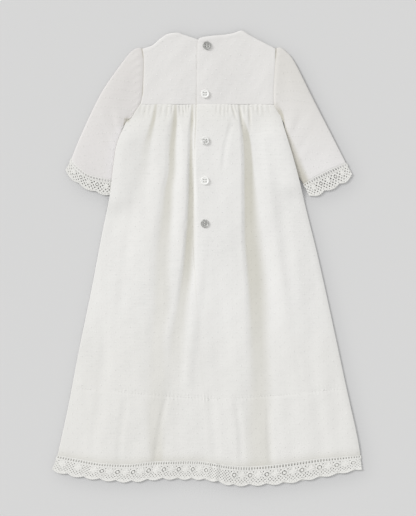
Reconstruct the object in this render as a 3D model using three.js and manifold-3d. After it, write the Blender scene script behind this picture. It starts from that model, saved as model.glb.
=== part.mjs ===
// Christening gown laid flat on its front, so that its buttoned back is uppermost.
// Millimetres. +X runs to the right across the back, +Y up to the neck, +Z up off the surface it lies on.
// The origin is on that surface, under the middle of the outline.

import * as THREE from 'three';
import { mergeVertices } from 'three/addons/utils/BufferGeometryUtils.js';
import Module from 'manifold-3d';

// Cloth and seams
const clothWall = 1.2;
const laceWall = 1.0;
const seamGap = 0.3; // between pieces sewn edge to edge
const layerGap = 0.3; // between a panel and the one that lies on it
const lappedWall = 1.55; // height that one sloping layer of cloth takes up under another
const yokeBackZ = clothWall + layerGap; // the back yoke lies on the front one

// Heights down the garment
const yokeSeamY = 230.2;
const hemMiddleY = -304;
const underlapEndY = { from: 62, to: 40 }; // the under side of the opening tapers away here
const seamCloseY = { from: 32, to: -8 }; // below the opening the two backs come level

// The body's two sides, from the shoulder round the armhole to the hem
const leftSide = [
  { y: 315, x: -96.5 },
  { y: 293, x: -93.8 },
  { y: 266, x: -94.8 },
  { y: 245, x: -96 },
  { y: 231, x: -99.3 },
  { y: 222, x: -105.2 },
  { y: 211, x: -112 },
  { y: 206, x: -119 },
  { y: 197, x: -123.5 },
  { y: 165, x: -135 },
  { y: 130, x: -139.9 },
  { y: 98, x: -143.7 },
  { y: 39, x: -155.6 },
  { y: -42, x: -170.9 },
  { y: -140, x: -191.1 },
  { y: -234, x: -209.1 },
  { y: -296, x: -223 },
];
const rightSide = [
  { y: 315, x: 104 },
  { y: 289, x: 102.8 },
  { y: 248, x: 100.5 },
  { y: 231, x: 101 },
  { y: 222, x: 105.5 },
  { y: 212, x: 111.6 },
  { y: 196, x: 116 },
  { y: 179, x: 121.2 },
  { y: 151, x: 129.6 },
  { y: 124, x: 137 },
  { y: 98, x: 143.3 },
  { y: 75, x: 148.7 },
  { y: 7, x: 165.6 },
  { y: -97, x: 188.7 },
  { y: -198, x: 210.3 },
  { y: -274, x: 227 },
  { y: -296, x: 230.6 },
];
const underarmY = { left: 211, right: 214 };
const armholeTopY = 315;

// Shoulders and neck of each yoke piece, from left to right
const leftNeck = [
  { x: -96.5, y: 314.3 },
  { x: -82, y: 319 },
  { x: -68.3, y: 330.2 },
  { x: -57, y: 337 },
  { x: -44.4, y: 338.7 },
  { x: -33.8, y: 335.6 },
  { x: -21.6, y: 331.5 },
  { x: -6, y: 327 },
  { x: 12, y: 325 },
];
const rightNeck = [
  { x: -14, y: 327.5 },
  { x: -10.5, y: 330.6 },
  { x: 7.6, y: 333.9 },
  { x: 27, y: 335.6 },
  { x: 39.5, y: 338 },
  { x: 51.5, y: 341.6 },
  { x: 66, y: 333.8 },
  { x: 86.7, y: 323.3 },
  { x: 104, y: 314.3 },
];
const frontNeck = [
  { x: -96.5, y: 314 },
  { x: -82, y: 318.6 },
  { x: -68.3, y: 329.8 },
  { x: -57, y: 335.5 },
  { x: -46, y: 330 },
  { x: -30, y: 308 },
  { x: 0, y: 296 },
  { x: 34, y: 310 },
  { x: 50, y: 337 },
  { x: 66, y: 333.2 },
  { x: 86.7, y: 322.9 },
  { x: 104, y: 314 },
];

const yokeColumns = { front: 20, backLeft: 14, backRight: 15 };
const yokeRows = 8;

// The hem of the cloth, and the lowest points of the lace's scallops
const hemLine = [
  { x: -224, y: -294.6 },
  { x: -190, y: -300.6 },
  { x: -154, y: -306.6 },
  { x: -118, y: -307.7 },
  { x: -82, y: -304.2 },
  { x: -20, y: -302.4 },
  { x: 28, y: -309 },
  { x: 62, y: -311.3 },
  { x: 98, y: -308.9 },
  { x: 134, y: -304.2 },
  { x: 170, y: -299.4 },
  { x: 231, y: -294.6 },
];
const laceLine = [
  { x: -233, y: -318.5 },
  { x: -202, y: -326.9 },
  { x: -171, y: -331.5 },
  { x: -119, y: -336 },
  { x: -63, y: -331.7 },
  { x: -11, y: -332 },
  { x: 14, y: -335.3 },
  { x: 41, y: -341.7 },
  { x: 105, y: -339.3 },
  { x: 170, y: -329.3 },
  { x: 233, y: -316.5 },
];

// Scallops: how far along the hem each count of lace repeats has come
const laceRun = [
  { repeat: 0, x: -233 },
  { repeat: 8, x: -44.3 },
  { repeat: 12, x: 40.1 },
  { repeat: 19, x: 221.4 },
  { repeat: 19.5, x: 233 },
];
const frontLaceRun = [
  { repeat: 0, x: -231.5 },
  { repeat: 19, x: 231.5 },
];
const columnsPerRepeat = 6;
const scallopDepth = 3.5;
const hemLaceRows = { front: 1, back: 2 };
const frontLaceInset = 1; // the front lace lies this far inside the back one
const laceJoin = { x: 16, halfWidth: 20, ripple: 1.2, waves: 3 };

// The back opening: its over edge and under edge, which become one seam below it
const overEdge = [
  { y: 332, x: -10.5 },
  { y: 322, x: -13.4 },
  { y: 230, x: -15.2 },
  { y: 128, x: -18.5 },
  { y: 34, x: -19.5 },
  { y: -100, x: -12 },
  { y: -304, x: 4 },
];
const underlapX = 10.5;
const lapShoulder = 16; // the over side comes back down in this width beyond the under side

// Folds of the back skirt, at five heights: where each lies, and how deep it goes as a share of the puff
const foldHeights = { seam: 230, gather: 200, upper: 100, lower: -80, hem: -304 };
const folds = {
  outerLeft: {
    x: { seam: -75, gather: -79.5, upper: -100, lower: -122, hem: -156 },
    depth: { seam: 0.4, gather: 0.7, upper: 0.1, lower: 0, hem: 0 },
    leftWidth: 11,
    rightWidth: 6,
  },
  left: {
    x: { seam: -47.7, gather: -49, upper: -55.5, lower: -73, hem: -94 },
    depth: { seam: 0.5, gather: 0.8, upper: 0.8, lower: 0.6, hem: 0.25 },
    leftWidth: 12,
    rightWidth: 6,
  },
  placket: {
    x: { seam: -21.5, gather: -23, upper: -25.5, lower: -40.5, hem: -68 },
    depth: { seam: 0.4, gather: 0.75, upper: 0.85, lower: 0.6, hem: 0.3 },
    leftWidth: 7,
    rightWidth: 14,
  },
  right: {
    x: { seam: 47, gather: 63, upper: 64.5, lower: 72, hem: 91 },
    depth: { seam: 0.5, gather: 0.75, upper: 0.8, lower: 0.6, hem: 0.35 },
    leftWidth: 7,
    rightWidth: 14,
  },
};
const foldWidening = { seam: 0.7, gather: 1, upper: 1.2, lower: 1.7, hem: 2.4 };
const ridges = [
  {
    beside: 'left',
    offset: -13,
    rise: { seam: 0.2, gather: 0.8, upper: 1.2, lower: 0.8, hem: 0.3 },
    leftWidth: 13,
    rightWidth: 9,
  },
  {
    beside: 'placket',
    offset: -10,
    rise: { seam: 0.2, gather: 1.8, upper: 2.8, lower: 1.6, hem: 0.5 },
    leftWidth: 13,
    rightWidth: 9,
  },
  {
    beside: 'right',
    offset: -11,
    rise: { seam: 0.2, gather: 1.2, upper: 1.8, lower: 1.4, hem: 0.8 },
    leftWidth: 20,
    rightWidth: 9,
  },
];

// How high the back skirt puffs up over the front, and how it rounds down to the side seams
const puff = { seam: 0.9, gather: 3.0, upper: 3.6, lower: 3.2, hem: 1.8 };
const sideRoll = 34;
const sideRoundness = 2.4;

// Gathers along the yoke seam: one wave for every two columns of a panel
const gather = { height: 1.1, shortest: 20, longest: 60, unevenness: 2.4 };
const frontGather = { height: 0.8, shortest: 30, longest: 120, unevenness: 1.7 };
const gatherStart = { share: 0.35, depth: 12 }; // part of its height at the seam, and where it is full

// Columns between the lines that each skirt panel follows
const placketSide = { seam: 12, gather: 12, upper: 13, lower: 22, hem: 38 };
const backLeftColumns = [8, 8, 8, 6];
const backRightColumns = [5, 12, 12];
const frontColumns = [2, 3, 18, 3, 2];
const frontInsets = [0.4, 13, 40];
const gatherRows = [0, 8, 19, 24, 33, 44]; // depths under the yoke seam, with the underarm's corners
const lowerRows = 14;
const rowCrowding = 1.15; // the lower rows lie closer together towards the gathers

// Sleeves: the outer edge and inner edge from armhole to cuff, and the cuff line from outer to inner edge
const sleeves = {
  left: {
    outer: [
      { x: -103, y: 315.8 },
      { x: -112, y: 310.7 },
      { x: -124.7, y: 295.8 },
      { x: -158, y: 247.5 },
      { x: -187.8, y: 185.6 },
      { x: -202, y: 150.5 },
    ],
    inner: [
      { x: -119.8, y: 205.8 },
      { x: -124.6, y: 196.5 },
      { x: -127.2, y: 186 },
      { x: -131, y: 162 },
      { x: -134.8, y: 134 },
      { x: -136, y: 118 },
    ],
    cuff: [
      { x: -195.5, y: 140.5 },
      { x: -177.5, y: 126.5 },
      { x: -156, y: 121 },
    ],
    lace: [
      { x: -213, y: 130 },
      { x: -194.7, y: 112 },
      { x: -176.3, y: 102 },
      { x: -158, y: 95.6 },
      { x: -138, y: 94.5 },
    ],
  },
  right: {
    outer: [
      { x: 110, y: 316.5 },
      { x: 119, y: 310.5 },
      { x: 132.6, y: 293.4 },
      { x: 162.5, y: 233.7 },
      { x: 190.5, y: 179.5 },
      { x: 209, y: 143 },
    ],
    inner: [
      { x: 114.6, y: 206.5 },
      { x: 117.6, y: 197 },
      { x: 118, y: 186 },
      { x: 123.5, y: 158 },
      { x: 130, y: 136 },
      { x: 145.2, y: 112 },
    ],
    cuff: [
      { x: 198.5, y: 139.5 },
      { x: 180.5, y: 131.5 },
      { x: 160, y: 121 },
    ],
    lace: [
      { x: 219.8, y: 124.5 },
      { x: 206, y: 111.5 },
      { x: 187, y: 102.5 },
      { x: 170, y: 95 },
      { x: 154.8, y: 91.5 },
    ],
  },
};
const sleeveHeight = { armhole: 2.9, elbow: 4.2, cuff: 3.2 };
const elbow = { from: 0.4, to: 0.5 }; // shares of the sleeve's length
const flattened = { fullness: 1.15, roundness: 0.4 }; // how soon a flat sleeve's edge rounds into its faces
const sleeveRing = 24;
const sleeveRows = 9;
const sleeveBow = 0.4; // share of the sleeve in which an end's curve straightens out
const armholeGap = 0.5;
const sleeveCap = { height: 0.7, start: 0.05, reach: 0.16, gathers: 9 };
const sleeveCreases = [
  { along: 0.34, across: 0.75, rise: 0.7, length: 0.09, width: 0.4 },
  { along: 0.55, across: 0.3, rise: 0.6, length: 0.08, width: 0.35 },
  { along: 0.72, across: 0.7, rise: 0.5, length: 0.07, width: 0.4 },
];
const cuffRepeats = 3;
const cuffRows = 2;
const cuffRoundness = 0.7;
const underCuffInset = 0.02; // the under strip stops this share short of the over one

// The body's side edges ride up over the inner edges of the sleeves
const sleeveLap = {
  height: 4.7,
  width: 10,
  ramp: 26,
  left: { from: 206, full: 195, until: 92, gone: 68 },
  right: { from: 206, full: 195, until: 114, gone: 92 },
};

// Pearl buttons down the back
const buttons = [
  { name: 'button_1', x: 0.5, y: 319 },
  { name: 'button_2', x: -2.1, y: 246.6 },
  { name: 'button_3', x: -1.8, y: 176 },
  { name: 'button_4', x: -2.3, y: 116.3 },
  { name: 'button_5', x: -2.6, y: 52.2 },
];
const buttonSize = {
  radius: 6.2,
  height: 2.2,
  foot: 0.9, // how far the underside stops short of the edge
  edgeHeight: 0.9,
  crown: 0.3,
  rim: 1.1,
  slope: 0.6,
  dish: 0.5,
  holeRadius: 0.85,
  holeSpacing: 1.65,
};
const buttonLift = 0.45; // the thread shank holds it this far off the cloth
const buttonSides = 20;
const holeSides = 8;

// Numbers and curves

function clamp01(t) {
  return Math.min(1, Math.max(0, t));
}

function mix(a, b, t) {
  return a + (b - a) * t;
}

function ease(t) {
  const s = clamp01(t);
  return s * s * (3 - 2 * s);
}

// 1 on a line and 0 past its width on either side, rounded at both ends
function swell(distance, leftWidth, rightWidth) {
  const t = Math.abs(distance) / (distance < 0 ? leftWidth : rightWidth);
  return t < 1 ? (1 + Math.cos(Math.PI * t)) / 2 : 0;
}

// A smooth line through a table's rows, which never overshoots them
function lineThrough(rows, along, value) {
  const forward = Math.sign(rows[1][along] - rows[0][along]);
  const steps = rows
    .slice(1)
    .map((row, i) => (row[value] - rows[i][value]) / (row[along] - rows[i][along]));
  const slopes = rows.map((row, i) => {
    const before = steps[Math.max(0, i - 1)];
    const after = steps[Math.min(steps.length - 1, i)];
    return before * after > 0 ? (2 * before * after) / (before + after) : 0;
  });
  return (at) => {
    let i = 0;
    while (i < rows.length - 2 && (at - rows[i + 1][along]) * forward > 0) i += 1;
    const width = rows[i + 1][along] - rows[i][along];
    const t = clamp01((at - rows[i][along]) / width);
    const from = rows[i][value] * (1 + 2 * t) * (1 - t) ** 2;
    const to = rows[i + 1][value] * (3 - 2 * t) * t ** 2;
    return from + to + width * (slopes[i] * t * (1 - t) ** 2 - slopes[i + 1] * (1 - t) * t ** 2);
  };
}

// A value given at the five fold heights, at any height
function downSkirt(values) {
  const rows = Object.keys(foldHeights).map((name) => ({ y: foldHeights[name], value: values[name] }));
  return lineThrough(rows, 'y', 'value');
}

function curveThrough(points) {
  return new THREE.SplineCurve(points.map((point) => new THREE.Vector2(point.x, point.y)));
}

const leftX = lineThrough(leftSide, 'y', 'x');
const rightX = lineThrough(rightSide, 'y', 'x');
const hemY = lineThrough(hemLine, 'x', 'y');
const laceY = lineThrough(laceLine, 'x', 'y');
const overX = lineThrough(overEdge, 'y', 'x');
const puffAt = downSkirt(puff);
const wideningAt = downSkirt(foldWidening);
const foldX = {};
const foldDepth = {};
for (const name of Object.keys(folds)) {
  foldX[name] = downSkirt(folds[name].x);
  foldDepth[name] = downSkirt(folds[name].depth);
}
const ridgeRises = ridges.map((ridge) => downSkirt(ridge.rise));

function underX(y) {
  const closed = ease((underlapEndY.from - y) / (underlapEndY.from - underlapEndY.to));
  return mix(underlapX, overX(y) - seamGap, closed);
}

// Heights of the layers

function lapOfSide(inside, y, range) {
  const across = 1 - ease((inside - sleeveLap.width) / sleeveLap.ramp);
  const above = ease((range.from - y) / (range.from - range.full));
  const below = ease((y - range.gone) / (range.until - range.gone));
  return sleeveLap.height * across * above * below;
}

function sleeveLiftAt(x, y) {
  const left = lapOfSide(x - leftX(y), y, sleeveLap.left);
  const right = lapOfSide(rightX(y) - x, y, sleeveLap.right);
  return Math.max(left, right);
}

function gatherSwell(depth) {
  return ease(gatherStart.share + depth / gatherStart.depth);
}

// How much of a gather's wave is left at a height, longer on some columns than on others
function gatherFade(sizes, column, y) {
  const length = mix(sizes.shortest, sizes.longest, Math.abs(Math.sin(sizes.unevenness * column)));
  const depth = yokeSeamY - y;
  return gatherSwell(depth) * (1 - ease(depth / length));
}

function gatherWave(sizes, column, y) {
  return sizes.height * gatherFade(sizes, column, y) * (1 + Math.cos(Math.PI * column)) * 0.5;
}

// The most that the front's gathers can stand up at a height
function frontRise(y) {
  const depth = yokeSeamY - y;
  return frontGather.height * gatherSwell(depth) * (1 - ease(depth / frontGather.longest));
}

function foldedPuff(x, y) {
  const inside = Math.min(x - leftX(y), rightX(y) - x);
  let height = puffAt(y) * (1 - (1 - clamp01(inside / sideRoll)) ** sideRoundness);
  const widening = wideningAt(y);
  for (const [name, fold] of Object.entries(folds)) {
    const beside = swell(x - foldX[name](y), fold.leftWidth * widening, fold.rightWidth * widening);
    height *= 1 - foldDepth[name](y) * beside;
  }
  ridges.forEach((ridge, i) => {
    const distance = x - foldX[ridge.beside](y) - ridge.offset * widening;
    height += ridgeRises[i](y) * swell(distance, ridge.leftWidth * widening, ridge.rightWidth * widening);
  });
  return height;
}

function backSkirtBase(x, y) {
  return clothWall + layerGap + sleeveLiftAt(x, y) + frontRise(y) + foldedPuff(x, y);
}

// What the over side of the opening is raised by to lie on the under side
function lapLift(x, y) {
  const across = 1 - ease((x - underlapX) / lapShoulder);
  const down = 1 - ease((seamCloseY.from - y) / (seamCloseY.from - seamCloseY.to));
  return (lappedWall + layerGap) * across * down;
}

// Closed walls from grids of points

function meshOf(name, positions, triangles, material) {
  const geometry = new THREE.BufferGeometry();
  geometry.setAttribute('position', new THREE.Float32BufferAttribute(positions, 3));
  geometry.setIndex(triangles);
  geometry.computeVertexNormals();
  const mesh = new THREE.Mesh(geometry, material);
  mesh.name = name;
  return mesh;
}

// The grid's height by its slope, so that the wall keeps its thickness where the cloth tilts
function tiltedWall(grid, c, r, wall) {
  const left = grid[r][Math.max(0, c - 1)];
  const right = grid[r][Math.min(grid[r].length - 1, c + 1)];
  const above = grid[Math.max(0, r - 1)][c];
  const below = grid[Math.min(grid.length - 1, r + 1)][c];
  const across = (right.z - left.z) / Math.hypot(right.x - left.x, right.y - left.y);
  const down = (below.z - above.z) / Math.hypot(below.x - above.x, below.y - above.y);
  return wall * Math.sqrt(1 + across ** 2 + down ** 2);
}

// A sheet of cloth: place gives the underside's point for a column and row, columns running to +X
function sheet(name, columns, rows, wall, material, place) {
  const grid = [];
  for (let r = 0; r <= rows; r += 1) {
    grid.push(Array.from({ length: columns + 1 }, (_, c) => place(c, r)));
  }
  const positions = [];
  const width = columns + 1;
  const under = (c, r) => 2 * (r * width + c);
  const over = (c, r) => under(c, r) + 1;
  for (let r = 0; r <= rows; r += 1) {
    for (let c = 0; c <= columns; c += 1) {
      const { x, y, z } = grid[r][c];
      positions.push(x, y, z, x, y, z + tiltedWall(grid, c, r, wall));
    }
  }
  const triangles = [];
  const quad = (a, b, c, d) => triangles.push(a, b, c, a, c, d);
  for (let r = 0; r < rows; r += 1) {
    for (let c = 0; c < columns; c += 1) {
      quad(over(c, r), over(c, r + 1), over(c + 1, r + 1), over(c + 1, r));
      quad(under(c, r), under(c + 1, r), under(c + 1, r + 1), under(c, r + 1));
    }
    quad(under(0, r), under(0, r + 1), over(0, r + 1), over(0, r));
    quad(under(columns, r + 1), under(columns, r), over(columns, r), over(columns, r + 1));
  }
  for (let c = 0; c < columns; c += 1) {
    quad(under(c + 1, 0), under(c, 0), over(c, 0), over(c + 1, 0));
    quad(under(c, rows), under(c + 1, rows), over(c + 1, rows), over(c, rows));
  }
  return meshOf(name, positions, triangles, material);
}

// A tube of cloth open at both ends: each ring is a list of outer points and a list of inner points
function tube(name, rings, material) {
  const count = rings[0].outer.length;
  const positions = rings.flatMap((ring) => [...ring.outer, ...ring.inner].flatMap((p) => [p.x, p.y, p.z]));
  const outer = (r, k) => r * 2 * count + (k % count);
  const inner = (r, k) => outer(r, k) + count;
  const triangles = [];
  const quad = (a, b, c, d) => triangles.push(a, b, c, a, c, d);
  const last = rings.length - 1;
  for (let k = 0; k < count; k += 1) {
    for (let r = 0; r < last; r += 1) {
      quad(outer(r, k), outer(r, k + 1), outer(r + 1, k + 1), outer(r + 1, k));
      quad(inner(r, k + 1), inner(r, k), inner(r + 1, k), inner(r + 1, k + 1));
    }
    quad(outer(0, k + 1), outer(0, k), inner(0, k), inner(0, k + 1));
    quad(outer(last, k), outer(last, k + 1), inner(last, k + 1), inner(last, k));
  }
  return meshOf(name, positions, triangles, material);
}

// Yoke

function yokePiece(name, columns, neck, edges, material, height) {
  const neckY = lineThrough(neck, 'x', 'y');
  const place = (c, r) => {
    const down = r / yokeRows;
    const topX = mix(edges.left(neck[0].y), edges.right(neck[neck.length - 1].y), c / columns);
    const y = mix(neckY(topX), yokeSeamY + seamGap, down);
    const x = mix(edges.left(y), edges.right(y), c / columns);
    return { x, y, z: height(x, y) };
  };
  return sheet(name, columns, yokeRows, clothWall, material, place);
}

// The underside of the back yoke's over side, which is raised where it laps the under side
function yokeFlapBase(x, y) {
  return yokeBackZ + lapLift(x, y);
}

function makeYokes(material) {
  const front = { left: leftX, right: rightX };
  const backLeft = { left: leftX, right: () => underlapX };
  const backRight = { left: overX, right: rightX };
  return [
    yokePiece('yoke_front', yokeColumns.front, frontNeck, front, material, () => 0),
    yokePiece('yoke_back_left', yokeColumns.backLeft, leftNeck, backLeft, material, () => yokeBackZ),
    yokePiece('yoke_back_right', yokeColumns.backRight, rightNeck, backRight, material, yokeFlapBase),
  ];
}

// Skirt

// Where a column lies at a height, between the lines that its panel follows
function columnX(lines, counts, column, y) {
  let segment = 0;
  let start = 0;
  while (segment < counts.length - 1 && column > start + counts[segment]) {
    start += counts[segment];
    segment += 1;
  }
  return mix(lines[segment](y), lines[segment + 1](y), (column - start) / counts[segment]);
}

// A row's height where the hem below it is at the given height
function rowY(row, bottomY) {
  const topRow = gatherRows.length - 1;
  if (row <= topRow) return yokeSeamY - gatherRows[row];
  return mix(yokeSeamY - gatherRows[topRow], bottomY, ((row - topRow) / lowerRows) ** rowCrowding);
}

function skirtPanel(name, lines, counts, material, height) {
  const columns = counts.reduce((sum, count) => sum + count, 0);
  const rows = gatherRows.length - 1 + lowerRows;
  const place = (c, r) => {
    const nearX = columnX(lines, counts, c, rowY(r, hemMiddleY));
    const y = rowY(r, hemY(nearX));
    const x = columnX(lines, counts, c, y);
    return { x, y, z: height(x, y, c) };
  };
  return sheet(name, columns, rows, clothWall, material, place);
}

function makeSkirt(material) {
  const inset = (edge, by) => (y) => edge(y) + by;
  const leftLines = [leftX, foldX.outerLeft, foldX.left, foldX.placket, underX];
  const rightLines = [overX, downSkirt(placketSide), foldX.right, rightX];
  const [rim, near, far] = frontInsets;
  const frontLines = [
    inset(leftX, rim),
    inset(leftX, near),
    inset(leftX, far),
    inset(rightX, -far),
    inset(rightX, -near),
    inset(rightX, -rim),
  ];
  const flatFrom = backLeftColumns[0] + backLeftColumns[1] + backLeftColumns[2];
  const flatTo = backRightColumns[0];
  const leftHeight = (x, y, c) => backSkirtBase(x, y) + (c < flatFrom ? gatherWave(gather, c, y) : 0);
  const rightHeight = (x, y, c) =>
    backSkirtBase(x, y) + lapLift(x, y) + (c > flatTo ? gatherWave(gather, c, y) : 0);
  const frontHeight = (x, y, c) => sleeveLiftAt(x, y) + gatherWave(frontGather, c, y);
  return [
    skirtPanel('skirt_front', frontLines, frontColumns, material, frontHeight),
    skirtPanel('skirt_back_left', leftLines, backLeftColumns, material, leftHeight),
    skirtPanel('skirt_back_right', rightLines, backRightColumns, material, rightHeight),
  ];
}

// Sleeves and cuffs

// The four edges of a sleeve as it lies: across runs from its outer edge to its inner edge
function sleeveEdges(side) {
  const { outer, inner, cuff } = sleeves[side];
  const bodyX = side === 'left' ? leftX : rightX;
  const away = side === 'left' ? -1 : 1;
  const armhole = (across) => {
    const y = mix(armholeTopY, underarmY[side], across);
    return { x: bodyX(y) + away * armholeGap, y };
  };
  const outerCurve = curveThrough([armhole(0), ...outer]);
  const innerCurve = curveThrough([armhole(1), ...inner]);
  const cuffCurve = curveThrough([outer[outer.length - 1], ...cuff, inner[inner.length - 1]]);
  return {
    armhole,
    outer: (along) => outerCurve.getPointAt(along),
    inner: (along) => innerCurve.getPointAt(along),
    cuff: (across) => cuffCurve.getPointAt(across),
  };
}

// How far an end line of the sleeve bows away from straight, on one axis
function bow(line, across, axis) {
  return line(across)[axis] - mix(line(0)[axis], line(1)[axis], across);
}

// A point of the sleeve as it lies: straight across, but bowed at the armhole and at the cuff
function sleevePoint(edges, along, across) {
  const atArmhole = 1 - ease(along / sleeveBow);
  const atCuff = ease((along - 1 + sleeveBow) / sleeveBow);
  const place = (axis) => {
    const straight = mix(edges.outer(along)[axis], edges.inner(along)[axis], across);
    return straight + bow(edges.armhole, across, axis) * atArmhole + bow(edges.cuff, across, axis) * atCuff;
  };
  return { x: place('x'), y: place('y') };
}

function sleeveHeightAt(along) {
  const toElbow = mix(sleeveHeight.armhole, sleeveHeight.elbow, ease(along / elbow.from));
  return mix(toElbow, sleeveHeight.cuff, ease((along - elbow.to) / (1 - elbow.to)));
}

// Small gathers at the sleeve's head, and the creases across it
function sleeveRelief(along, across) {
  const head = (1 - ease(along / sleeveCap.reach)) * ease(along / sleeveCap.start);
  let rise = sleeveCap.height * head * (1 + Math.cos(2 * Math.PI * sleeveCap.gathers * across)) * 0.5;
  for (const crease of sleeveCreases) {
    const beside = swell(along - crease.along, crease.length, crease.length);
    rise += crease.rise * beside * swell(across - crease.across, crease.width, crease.width);
  }
  return rise;
}

// 0 at a flat tube's edge and 1 on its faces, from the sine of the angle round it
function flatness(sine) {
  return Math.min(1, flattened.fullness * Math.abs(sine) ** flattened.roundness);
}

// One ring of a flattened sleeve: the wall's outer and inner points round it
function sleeveSection(edges, along, mirrored) {
  const height = sleeveHeightAt(along);
  const width = edges.outer(along).distanceTo(edges.inner(along));
  const outer = [];
  const inner = [];
  for (let k = 0; k < sleeveRing; k += 1) {
    const angle = (mirrored ? -1 : 1) * ((2 * Math.PI * k) / sleeveRing);
    const across = (1 - Math.cos(angle)) / 2;
    const level = Math.sign(Math.sin(angle)) * flatness(Math.sin(angle));
    const rise = level > 0 ? level * sleeveRelief(along, across) : 0;
    const inset = clothWall / width;
    const outerPoint = sleevePoint(edges, along, across);
    const innerPoint = sleevePoint(edges, along, mix(inset, 1 - inset, across));
    outer.push({ ...outerPoint, z: (height / 2) * (1 + level) + rise });
    inner.push({ ...innerPoint, z: height / 2 + (height / 2 - clothWall) * level + rise });
  }
  return { outer, inner };
}

function makeSleeve(side, material) {
  const edges = sleeveEdges(side);
  const rings = [];
  for (let r = 0; r <= sleeveRows; r += 1) {
    rings.push(sleeveSection(edges, r / sleeveRows, side === 'left'));
  }
  return tube(`sleeve_${side}`, rings, material);
}

function scallop(repeat) {
  return scallopDepth * (1 - Math.abs(Math.sin(Math.PI * repeat)));
}

// The lace round one cuff is two strips, one over and one under
function makeCuffLace(side, material) {
  const edges = sleeveEdges(side);
  const laceCurve = curveThrough(sleeves[side].lace);
  const columns = cuffRepeats * columnsPerRepeat;
  const strip = (name, height, inset) => {
    const place = (c, r) => {
      const share = mix(inset, 1 - inset, c / columns);
      const across = side === 'left' ? share : 1 - share;
      const top = edges.cuff(across);
      const bottom = laceCurve.getPointAt(across);
      const length = bottom.distanceTo(top);
      const reach = length - scallop((c / columns) * cuffRepeats) - inset * length;
      const from = mix(seamGap, reach, r / cuffRows) / length;
      return {
        x: mix(top.x, bottom.x, from),
        y: mix(top.y, bottom.y, from),
        z: height(across, r / cuffRows),
      };
    };
    return sheet(name, columns, cuffRows, laceWall, material, place);
  };
  const over = (across, down) => {
    const seamLevel = sleeveHeight.cuff - clothWall - laceWall - layerGap;
    const rounding = Math.sin(Math.PI * clamp01(across)) ** cuffRoundness;
    return laceWall + layerGap + seamLevel * rounding * (1 - ease(down));
  };
  return [
    strip(`cuff_lace_${side}_over`, over, 0),
    strip(`cuff_lace_${side}_under`, () => 0, underCuffInset),
  ];
}

// Hem lace

function hemLace(name, run, inset, rows, material, height) {
  const runX = lineThrough(run, 'repeat', 'x');
  const columns = Math.round(run[run.length - 1].repeat * columnsPerRepeat);
  const first = run[0].x;
  const last = run[run.length - 1].x;
  const place = (c, r) => {
    const repeat = c / columnsPerRepeat;
    const bottomX = runX(repeat);
    const share = (bottomX - first) / (last - first);
    const topX = mix(leftX(hemMiddleY) + inset, rightX(hemMiddleY) - inset, share);
    const top = hemY(topX) - seamGap * (1 + inset);
    const bottom = laceY(bottomX) + scallop(repeat) + inset;
    const down = r / rows;
    return { x: mix(topX, bottomX, down), y: mix(top, bottom, down), z: height(topX, down) };
  };
  return sheet(name, columns, rows, laceWall, material, place);
}

function makeHemLace(material) {
  const back = (x, down) => {
    const joined = swell(x - laceJoin.x, laceJoin.halfWidth, laceJoin.halfWidth);
    const turn = (Math.PI * laceJoin.waves * (x - laceJoin.x)) / laceJoin.halfWidth;
    const ripple = laceJoin.ripple * joined * (1 + Math.cos(turn)) * 0.5;
    const seamed = backSkirtBase(x, hemY(x)) + ripple;
    return mix(seamed, laceWall + layerGap + ripple, ease(down));
  };
  return [
    hemLace('hem_lace_front', frontLaceRun, frontLaceInset, hemLaceRows.front, material, () => 0),
    hemLace('hem_lace_back', laceRun, 0, hemLaceRows.back, material, back),
  ];
}

// Buttons

async function loadManifold() {
  const wasm = await Module();
  wasm.setup();
  return wasm;
}

function toSolid(wasm, geometry) {
  const bare = geometry.clone();
  bare.deleteAttribute('normal');
  bare.deleteAttribute('uv');
  const merged = mergeVertices(bare, 1e-4);
  const vertProperties = Float32Array.from(merged.attributes.position.array);
  const triVerts = Uint32Array.from(merged.index.array);
  return new wasm.Manifold(new wasm.Mesh({ numProp: 3, vertProperties, triVerts }));
}

function toGeometry(solid) {
  const { vertProperties, triVerts } = solid.getMesh();
  const geometry = new THREE.BufferGeometry();
  geometry.setAttribute('position', new THREE.BufferAttribute(Float32Array.from(vertProperties), 3));
  geometry.setIndex(new THREE.BufferAttribute(Uint32Array.from(triVerts), 1));
  geometry.computeVertexNormals();
  return geometry;
}

// A round button with a raised rim and four holes, standing on its underside at the origin
function buttonGeometry(wasm) {
  const { radius, height, foot, edgeHeight, crown, rim, slope, dish, holeRadius, holeSpacing } = buttonSize;
  const profile = [
    [0, 0],
    [radius - foot, 0],
    [radius, edgeHeight],
    [radius - crown, height],
    [radius - rim, height],
    [radius - rim - slope, height - dish],
    [0, height - dish],
  ];
  const disc = new THREE.LatheGeometry(profile.map(([x, y]) => new THREE.Vector2(x, y)), buttonSides);
  disc.rotateX(Math.PI / 2);
  let solid = toSolid(wasm, disc);
  for (const [sideX, sideY] of [[1, 1], [1, -1], [-1, 1], [-1, -1]]) {
    const hole = new THREE.CylinderGeometry(holeRadius, holeRadius, 4 * height, holeSides);
    hole.rotateX(Math.PI / 2);
    hole.translate(sideX * holeSpacing, sideY * holeSpacing, 0);
    solid = solid.subtract(toSolid(wasm, hole));
  }
  return toGeometry(solid);
}

// The top of the over side of the back, where the buttons lie
function flapTop(x, y) {
  const base = y > yokeSeamY ? yokeFlapBase(x, y) : backSkirtBase(x, y) + lapLift(x, y);
  return base + clothWall;
}

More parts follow.
